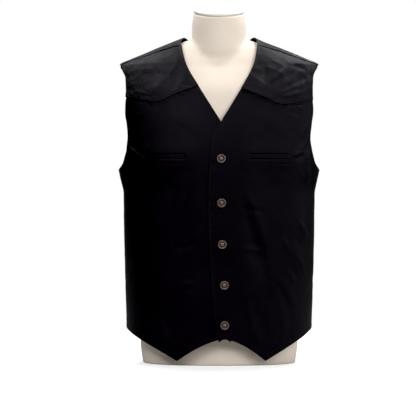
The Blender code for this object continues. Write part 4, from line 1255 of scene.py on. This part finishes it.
def one_stitch():
    """A short six-sided loop of thread whose ends dip into the cloth."""
    bpy.ops.object.select_all(action="DESELECT")
    bpy.ops.mesh.primitive_cylinder_add(
        vertices=STITCH_SIDES, radius=STITCH_RADIUS, depth=STITCH_LENGTH, rotation=(0, math.pi / 2, 0)
    )
    obj = bpy.context.object
    bpy.ops.object.transform_apply(location=False, rotation=True, scale=True)
    mesh = obj.data
    cut_rings(obj, 0, STITCH_CUTS)
    half = 0.5 * STITCH_LENGTH
    for vert in mesh.vertices:
        sunk = soft_step(abs(vert.co.x) / half, *STITCH_BEND)
        vert.co.y *= 1 - STITCH_TAPER * sunk
        vert.co.z = vert.co.z * (1 - STITCH_TAPER * sunk) - STITCH_SINK * sunk
    shape = np.array([vert.co for vert in mesh.vertices])
    faces = [list(face.vertices) for face in mesh.polygons]
    bpy.data.objects.remove(obj)
    bpy.data.meshes.remove(mesh)
    return shape, faces


def thread_object(name, lines, stitch, material, seed):
    """All stitches of one panel as one piece."""
    shape, faces = stitch
    rng = np.random.default_rng(seed)
    verts, polygons = [], []
    for middles, ways, normals in lines:
        for middle, way, normal in zip(middles, ways, normals):
            normal = normal / np.linalg.norm(normal)
            way = way - normal * way.dot(normal)
            way = way / np.linalg.norm(way)
            aside = np.cross(normal, way)
            way = way + aside * rng.uniform(*STITCH_SLANT)
            stretch = rng.uniform(*STITCH_STRETCH)
            start = len(verts) * len(shape)
            body = shape[:, :1] * stretch * way + shape[:, 1:2] * aside + shape[:, 2:] * normal
            verts.append(middle + normal * STITCH_LIFT + body)
            polygons.extend([[start + i for i in face] for face in faces])
    mesh = bpy.data.meshes.new(name)
    mesh.from_pydata(np.concatenate(verts).tolist(), [], polygons)
    mesh.materials.append(material)
    mesh.shade_smooth()
    return dress(place_object(name, mesh), "canvas")


def front_lines(panel, side, underarm):
    """Stitch lines of a front: free edge, hem, armhole and the line under the welt."""
    inset = STITCH_INSET
    front = inset_line(panel, "left", "front", inset["front"], [("hem", inset["hem"])])
    clear = [("front", inset["front"]), ("side", SEAM_CLEAR)]
    hem = inset_line(panel, "bottom", "hem", inset["hem"], clear)
    armhole = inset_line(panel, "right", "armhole", inset["armhole"], first=underarm)
    x = WELT_INNER_X[side] + WELT_LENGTH * even(0, 1, POCKET_STITCH_STEPS)
    z = np.full_like(x, POCKET_STITCH_Z)
    turn = turn_at_x(x, z)
    rise = front_base_rise(x, z, side) + pocket_mouth_rise(x, z, side)
    mirrored = side == "right"
    normal = vest_normal(turn, z) * (MIRROR if mirrored else 1.0)
    pocket = (cloth_points(turn, z, rise, mirrored), normal)
    return [stitched_points(line) for line in (front, hem, armhole, pocket)]


def yoke_lines(panel):
    """Stitch lines of a yoke: two rows along its seam, the neck and the armhole."""
    clear = [("neck", SEAM_CLEAR), ("armhole", SEAM_CLEAR)]
    lines = [inset_line(panel, "bottom", "yoke", row, clear) for row in YOKE_STITCH_ROWS]
    clear = [("yoke", EDGE_CLEAR), ("shoulder", EDGE_CLEAR)]
    for edge, end in (("neck", "left"), ("armhole", "right")):
        lines.append(inset_line(panel, end, edge, STITCH_INSET[edge], clear))
    return [stitched_points(line) for line in lines]


def back_lines(panel, spans):
    """Stitch lines of the back: the hem, both armholes, the neck and two rows along each shoulder."""
    inset = STITCH_INSET
    underarm, neck, middle = spans["underarm"], spans["neck"], spans["middle"]
    clear = [("side_left", SEAM_CLEAR), ("side_right", SEAM_CLEAR)]
    lines = [inset_line(panel, "bottom", "hem", inset["hem"], clear)]
    for side, end in (("right", "left"), ("left", "right")):
        clear = [("shoulder_" + side, EDGE_CLEAR)]
        lines.append(inset_line(panel, end, "armhole_" + side, inset["armhole"], clear, underarm))
    clear = [("shoulder_left", EDGE_CLEAR), ("shoulder_right", EDGE_CLEAR)]
    run = (middle - neck, middle + neck + 1)
    lines.append(inset_line(panel, "top", "back_neck", inset["back_neck"], clear, *run))
    for row in SHOULDER_STITCH_ROWS:
        for side, run in (("right", (0, middle - neck + 1)), ("left", (middle + neck, None))):
            clear = [("armhole_" + side, SEAM_CLEAR), ("back_neck", SEAM_CLEAR)]
            lines.append(inset_line(panel, "top", "shoulder_" + side, row, clear, *run))
    return [stitched_points(line) for line in lines]


def welt_lines(panel):
    """Stitches along the welt's lower edge, between its sewn-in ends."""
    between = (WELT_STITCH_ROW, slice(WELT_STITCH_TRIM, -WELT_STITCH_TRIM))
    return [stitched_points((panel.points[between], panel.normals[between]))]


# Turned pieces, worked up from a disc, and the padded form

def turned_object(name, profile, sides, material):
    """A disc worked up ring by ring along a profile of radius and rise."""
    bpy.ops.object.select_all(action="DESELECT")
    first = profile[0]
    bpy.ops.mesh.primitive_circle_add(
        vertices=sides, radius=first.radius * MM, fill_type="NGON", location=(0, 0, first.rise * MM)
    )
    obj = bpy.context.object
    obj.name = obj.data.name = name
    bpy.ops.object.transform_apply(location=True, rotation=False, scale=False)
    bpy.ops.object.mode_set(mode="EDIT")
    bpy.ops.mesh.select_mode(type="FACE")
    bpy.ops.mesh.select_all(action="SELECT")
    for before, after in zip(profile, profile[1:]):
        size = after.radius / before.radius
        lift = (0, 0, (after.rise - before.rise) * MM)
        bpy.ops.mesh.extrude_region_move(TRANSFORM_OT_translate={"value": lift})
        bpy.ops.transform.resize(value=(size, size, 1.0), center_override=(0, 0, after.rise * MM))
    bpy.ops.mesh.poke()
    bpy.ops.mesh.select_all(action="SELECT")
    bpy.ops.mesh.normals_make_consistent(inside=False)
    bpy.ops.object.mode_set(mode="OBJECT")
    bpy.ops.object.shade_smooth()
    from_middle = obj.data.attributes.new("from_middle", "FLOAT", "POINT")
    widest = max(point.radius for point in profile) * MM
    radii = [math.hypot(vert.co.x, vert.co.y) / widest for vert in obj.data.vertices]
    from_middle.data.foreach_set("value", radii)
    obj.data.materials.append(material)
    return obj


def press_buttons(material):
    """Five tack buttons, pressed once and set on the left front."""
    pattern = turned_object("tack_button", BUTTON_PROFILE, BUTTON_SIDES, material)
    for number, height in enumerate(BUTTON_HEIGHTS, start=1):
        z = np.array(height * MM)
        x = column(CENTRE_FRONT, "height", "x", z)
        turn = turn_at_x(x, z)
        rise = front_base_rise(x, z, "left") + BUTTON_SEAT_GAP
        normal = vest_normal(turn, z)
        mesh = pattern.data.copy()
        spin = Matrix.Rotation(number * BUTTON_SPIN, 4, "Z")
        place = Matrix.Translation(Vector(cloth_points(turn, z, rise, False)))
        mesh.transform(place @ Vector(normal).to_track_quat("Z", "Y").to_matrix().to_4x4() @ spin)
        button = place_object(f"tack_button_{number}", mesh)
        dress(button, "button_metal", f"button_{number}")
    bpy.data.objects.remove(pattern)


def fit_cap(material):
    cap = turned_object("neck_cap", CAP_PROFILE, CAP_SIDES, material)
    top = NECK_SECTIONS[-1]
    tilt = math.atan(top.slope)
    place = Matrix.Translation(
        (0.0, top.middle * MM - CAP_GAP * math.sin(tilt), top.height * MM + CAP_GAP * math.cos(tilt))
    )
    cap.data.transform(place @ Matrix.Rotation(tilt, 4, "X"))
    dress(cap, "form_cap", "form_cap")


def form_ring(z, turns):
    """One ring of the form: the torso's section joined to the neck's by a soft fillet."""
    neck_width, neck_front, neck_back, middle, slope = columns(
        NECK_SECTIONS, z, "half_width", "front_reach", "back_reach", "middle", "slope"
    )
    slope = slope / MM  # a share, so not in millimetres
    torso_top = FORM_SECTIONS[-1].height * MM
    level = min(z, torso_top)
    half_width, front, back, side = columns(FORM_SECTIONS, level, "half_width", "front", "back", "side")
    centre = middle if z > NECK_FULL_Z else side
    sine, cosine = np.sin(turns), np.cos(turns)
    reach = np.where(cosine >= 0, centre - front, back - centre)
    torso = np.abs(sine / half_width) ** ROUNDNESS + np.abs(cosine / reach) ** ROUNDNESS
    torso = np.zeros_like(torso) if z > torso_top else torso ** (-1 / ROUNDNESS)
    neck_reach = np.where(cosine >= 0, neck_front, neck_back)
    neck = ((sine / neck_width) ** 2 + (cosine / neck_reach) ** 2) ** -0.5
    neck = neck * soft_step(z, NECK_START_Z, NECK_FULL_Z)
    radius = (torso**NECK_BLEND + neck**NECK_BLEND) ** (1 / NECK_BLEND)
    y = centre - radius * cosine
    return joined(radius * sine, y, z + slope * (y - centre))


def pad_form(material):
    """The padded torso and neck: a cylinder cut into rings, each ring set to its section."""
    top = NECK_SECTIONS[-1].height * MM
    bpy.ops.object.select_all(action="DESELECT")
    bpy.ops.mesh.primitive_cylinder_add(
        vertices=FORM_SIDES, radius=FORM_START_RADIUS, depth=top, location=(0, 0, top / 2)
    )
    obj = bpy.context.object
    obj.name = obj.data.name = "form_cover"
    bpy.ops.object.transform_apply(location=True, rotation=False, scale=False)
    mesh = obj.data
    cut_rings(obj, 2, FORM_RINGS - 1)
    places = np.array([vert.co for vert in mesh.vertices])
    heights = np.round(places[:, 2], 6)
    for height in np.unique(heights):
        on_ring = heights == height
        turns = np.arctan2(places[on_ring, 0], -places[on_ring, 1])
        places[on_ring] = form_ring(float(height), turns)
    mesh.vertices.foreach_set("co", places.astype(np.float32).ravel())
    mesh.update()
    round_edges(obj, *FORM_EDGE_ROUND)
    mesh.shade_smooth()
    mesh.materials.append(material)
    return dress(obj, "form_cover", "form_torso")


# Finishes

def set_values(node, **values):
    """Sets a node's inputs by their names, or its settings where it has no such input."""
    for name, value in values.items():
        label = name.replace("_", " ").title().replace("Ior", "IOR")
        if label in node.inputs:
            node.inputs[label].default_value = value
        else:
            setattr(node, name, value)


def add_node(tree, kind, **values):
    node = tree.nodes.new("ShaderNode" + kind)
    set_values(node, **values)
    return node


def link(source, node, name):
    """Feeds an output into a node's input, given by name or number."""
    node.id_data.links.new(source, node.inputs[name])


def new_finish(name, colour, **inputs):
    """A finish, its nodes and its shader with these inputs."""
    material = bpy.data.materials.new(name)
    material.use_nodes = True
    shader = material.node_tree.nodes["Principled BSDF"]
    set_values(shader, base_color=(*colour, 1.0), **inputs)
    return material, material.node_tree, shader


def texture(tree, kind, **values):
    """A texture that lies on the piece's own coordinates."""
    node = add_node(tree, "Tex" + kind, **values)
    link(add_node(tree, "TexCoord").outputs["Object"], node, "Vector")
    return node.outputs["Fac"]


def toned(tree, source, *stops):
    """Colours that follow a texture, from stops of position and colour."""
    node = add_node(tree, "ValToRGB")
    link(source, node, "Fac")
    elements = node.color_ramp.elements
    for number, (position, colour) in enumerate(stops):
        element = elements[number] if number < 2 else elements.new(position)
        element.position = position
        element.color = (*colour, 1.0)
    return node.outputs["Color"]


def vary_roughness(shader, source, low, high):
    """Roughness that follows a texture between two values."""
    between = add_node(shader.id_data, "MapRange", to_min=low, to_max=high)
    link(source, between, "Value")
    link(between.outputs["Result"], shader, "Roughness")


def relief(shader, *layers):
    """Bump layers, each a height output with its strength and depth in metres."""
    below = None
    for height, strength, depth in layers:
        bump = add_node(shader.id_data, "Bump", strength=strength, distance=depth)
        link(height, bump, "Height")
        if below is not None:
            link(below, bump, "Normal")
        below = bump.outputs["Normal"]
    link(below, shader, "Normal")


def black_canvas():
    """Black twill: fine slanting ribs, uneven dye, a little lint, and paler worn edges."""
    material, tree, shader = new_finish(
        "black_canvas",
        (0.006, 0.0055, 0.007),
        roughness=0.8,
        sheen_weight=0.015,
        sheen_roughness=0.30,
        sheen_tint=(0.86, 0.83, 1.0, 1.0),
        specular_ior_level=0.14,
        specular_tint=(0.82, 0.76, 1.0, 1.0),
    )
    turned = add_node(tree, "Mapping", rotation=(0.0, 0.0, RIB_LEAN))
    link(add_node(tree, "UVMap", uv_map="pattern").outputs["UV"], turned, "Vector")
    ribs = add_node(tree, "TexWave", scale=340.0, distortion=0.6, detail=1.0)
    link(turned.outputs["Vector"], ribs, "Vector")
    dye = texture(tree, "Noise", scale=11.0, detail=6.0, roughness=0.62)
    lint = texture(tree, "Noise", scale=620.0, detail=2.0)
    tone = toned(tree, dye, (0.30, (0.0012, 0.0009, 0.0015)), (0.72, (0.0028, 0.0024, 0.0034)))
    specks = toned(tree, lint, (0.64, (0.0, 0.0, 0.0)), (0.82, (0.008, 0.0075, 0.009)))
    dusted = add_node(tree, "Mix", data_type="RGBA", blend_type="ADD", factor=1.0)
    link(tone, dusted, "A")
    link(specks, dusted, "B")
    rubbed = add_node(tree, "Math", operation="MULTIPLY")
    link(add_node(tree, "Attribute", attribute_name="wear").outputs["Fac"], rubbed, 0)
    link(dye, rubbed, 1)
    worn = add_node(tree, "Mix", data_type="RGBA", b=(0.011, 0.010, 0.013, 1.0))
    link(rubbed.outputs["Value"], worn, "Factor")
    link(dusted.outputs["Result"], worn, "A")
    link(worn.outputs["Result"], shader, "Base Color")
    vary_roughness(shader, dye, 0.48, 0.64)
    relief(shader, (ribs.outputs["Fac"], 0.5, 0.12 * MM), (lint, 0.4, 0.10 * MM))
    return material


def black_thread():
    """Black thread with a fine twist."""
    material, tree, shader = new_finish(
        "black_thread", (0.011, 0.010, 0.012), roughness=0.5, specular_ior_level=0.18
    )
    twist = texture(tree, "Noise", scale=1500.0, detail=1.0)
    tone = toned(tree, twist, (0.35, (0.003, 0.0025, 0.0035)), (0.70, (0.008, 0.007, 0.009)))
    link(tone, shader, "Base Color")
    relief(shader, (twist, 0.5, 0.08 * MM))
    return material


def antique_metal():
    """Copper-grey plating: bright worn rim and dome, dark patina in the hollow ring."""
    material, tree, shader = new_finish("antique_metal", (0.33, 0.28, 0.25), roughness=0.4, metallic=0.92)
    ring = add_node(tree, "Attribute", attribute_name="from_middle")
    patina = texture(tree, "Noise", scale=260.0, detail=5.0, roughness=0.65)
    shift = add_node(tree, "Math", operation="MULTIPLY_ADD")
    link(patina, shift, 0)
    shift.inputs[1].default_value = 0.10
    link(ring.outputs["Fac"], shift, 2)
    tone = toned(
        tree,
        shift.outputs["Value"],
        (0.10, (0.245, 0.18, 0.157)),
        (0.43, (0.18, 0.132, 0.115)),
        (0.52, (0.055, 0.027, 0.019)),
        (0.63, (0.045, 0.021, 0.015)),
        (0.74, (0.15, 0.122, 0.105)),
        (0.94, (0.205, 0.168, 0.15)),
        (1.0, (0.10, 0.08, 0.07)),
    )
    link(tone, shader, "Base Color")
    vary_roughness(shader, patina, 0.42, 0.66)
    relief(shader, (patina, 0.35, 0.12 * MM))
    return material


def cream_jersey():
    """Stretched cream knit: fine upright wales crossed by courses, slightly uneven."""
    material, tree, shader = new_finish(
        "cream_jersey",
        (0.80, 0.70, 0.60),
        roughness=0.85,
        sheen_weight=0.22,
        sheen_roughness=0.5,
        sheen_tint=(1.0, 0.96, 0.90, 1.0),
        specular_ior_level=0.25,
    )
    courses = texture(tree, "Wave", scale=260.0, distortion=1.0, detail=1.0, bands_direction="Z")
    wales = texture(tree, "Wave", scale=200.0, distortion=0.8, detail=1.0, bands_direction="X")
    cloud = texture(tree, "Noise", scale=14.0, detail=5.0, roughness=0.55)
    tone = toned(tree, cloud, (0.25, (0.84, 0.73, 0.62)), (0.75, (0.91, 0.81, 0.705)))
    link(tone, shader, "Base Color")
    relief(shader, (courses, 0.25, 0.10 * MM), (wales, 0.2, 0.08 * MM))
    return material


def satin_cap():
    """Off-white satin, slightly cloudy."""
    material, tree, shader = new_finish("satin_cap", (0.90, 0.88, 0.81), roughness=0.45)
    cloud = texture(tree, "Noise", scale=30.0, detail=4.0)
    tone = toned(tree, cloud, (0.2, (0.88, 0.86, 0.78)), (0.8, (0.94, 0.925, 0.86)))
    link(tone, shader, "Base Color")
    vary_roughness(shader, cloud, 0.38, 0.55)
    relief(shader, (cloud, 0.08, 0.2 * MM))
    return material


# The studio

def lay_floor():
    """A grey round floor that glows to the camera alone. The glow is painted brightness that reaches full
    white at the rim, so the floor fades into the white room. It is weaker near the middle, which is a painted
    shadow round the form's base.
    """
    bpy.ops.object.select_all(action="DESELECT")
    bpy.ops.mesh.primitive_circle_add(vertices=64, radius=1.0, fill_type="NGON", location=(0, 0, 0))
    floor = bpy.context.object
    floor.name = "studio_floor"
    material, tree, shader = new_finish("floor_with_painted_glow", (0.40, 0.40, 0.40), roughness=0.9, emission_color=WHITE)
    from_middle = add_node(tree, "VectorMath", operation="LENGTH")
    link(add_node(tree, "TexCoord").outputs["Object"], from_middle, 0)
    # Painted shadow and painted brightness: the camera-only glow is 0.62 near the middle and full at the rim,
    # so the floor looks shaded round the form's base.
    paler = add_node(tree, "MapRange", from_min=0.25, from_max=0.95, to_min=0.62, to_max=1.0)
    link(from_middle.outputs["Value"], paler, "Value")
    glow = add_node(tree, "Math", operation="MULTIPLY")
    link(paler.outputs["Result"], glow, 0)
    link(add_node(tree, "LightPath").outputs["Is Camera Ray"], glow, 1)
    link(glow.outputs["Value"], shader, "Emission Strength")
    floor.data.materials.append(material)


def light_studio():
    """Soft lights round the vest, in a white room that is bright only to the camera."""
    for box in SOFTBOXES:
        data = bpy.data.lights.new(box.name, "AREA")
        data.shape = "SQUARE"
        data.size = box.size
        data.energy = box.power
        light = place_object(box.name, data)
        light.location = box.place
        way = Vector(box.aim) - Vector(box.place)
        light.rotation_euler = way.to_track_quat("-Z", "Y").to_euler()
    world = bpy.data.worlds.new("white_room")
    world.use_nodes = True
    tree = world.node_tree
    room = tree.nodes["Background"]
    set_values(room, color=WHITE, strength=ROOM_LIGHT)
    seen = add_node(tree, "Background", color=WHITE, strength=1.0)
    mix = add_node(tree, "MixShader")
    link(add_node(tree, "LightPath").outputs["Is Camera Ray"], mix, "Fac")
    link(room.outputs["Background"], mix, 1)
    link(seen.outputs["Background"], mix, 2)
    link(mix.outputs["Shader"], tree.nodes["World Output"], "Surface")
    bpy.context.scene.world = world


def place_camera():
    data = bpy.data.cameras.new("studio_camera")
    data.lens = CAMERA_LENS
    data.sensor_width = SENSOR_WIDTH
    camera = place_object("studio_camera", data)
    camera.location = CAMERA_PLACE
    camera.rotation_euler = (math.radians(90), 0.0, 0.0)
    bpy.context.scene.camera = camera
    film = bpy.context.scene.view_settings
    film.view_transform = "Standard"
    film.use_curve_mapping = True
    film.curve_mapping.black_level = FILM_BLACK


def main():
    canvas, thread = black_canvas(), black_thread()
    pad_form(cream_jersey())
    fit_cap(satin_cap())
    stitch = one_stitch()

    def sew_threads(node, lines, seed):
        return thread_object("thread_" + node, lines, stitch, thread, seed)

    for number, side in enumerate(("left", "right")):
        front, panel, area, underarm = sew_front(side, canvas)
        lines = front_lines(panel, side, underarm)
        threads = sew_threads("front_" + side, lines, THREAD_SEED["front"] + number)
        yoke, panel, area = sew_yoke(side, canvas)
        threads = sew_threads("yoke_" + side, yoke_lines(panel), THREAD_SEED["yoke"] + number)
        welt, panel = sew_welt(side, canvas)
        threads = sew_threads("welt_" + side, welt_lines(panel), THREAD_SEED["welt"] + number)
    back, panel, area, spans = sew_back(canvas)
    threads = sew_threads("back", back_lines(panel, spans), THREAD_SEED["back"])
    press_buttons(antique_metal())
    lay_floor()
    light_studio()
    place_camera()


main()
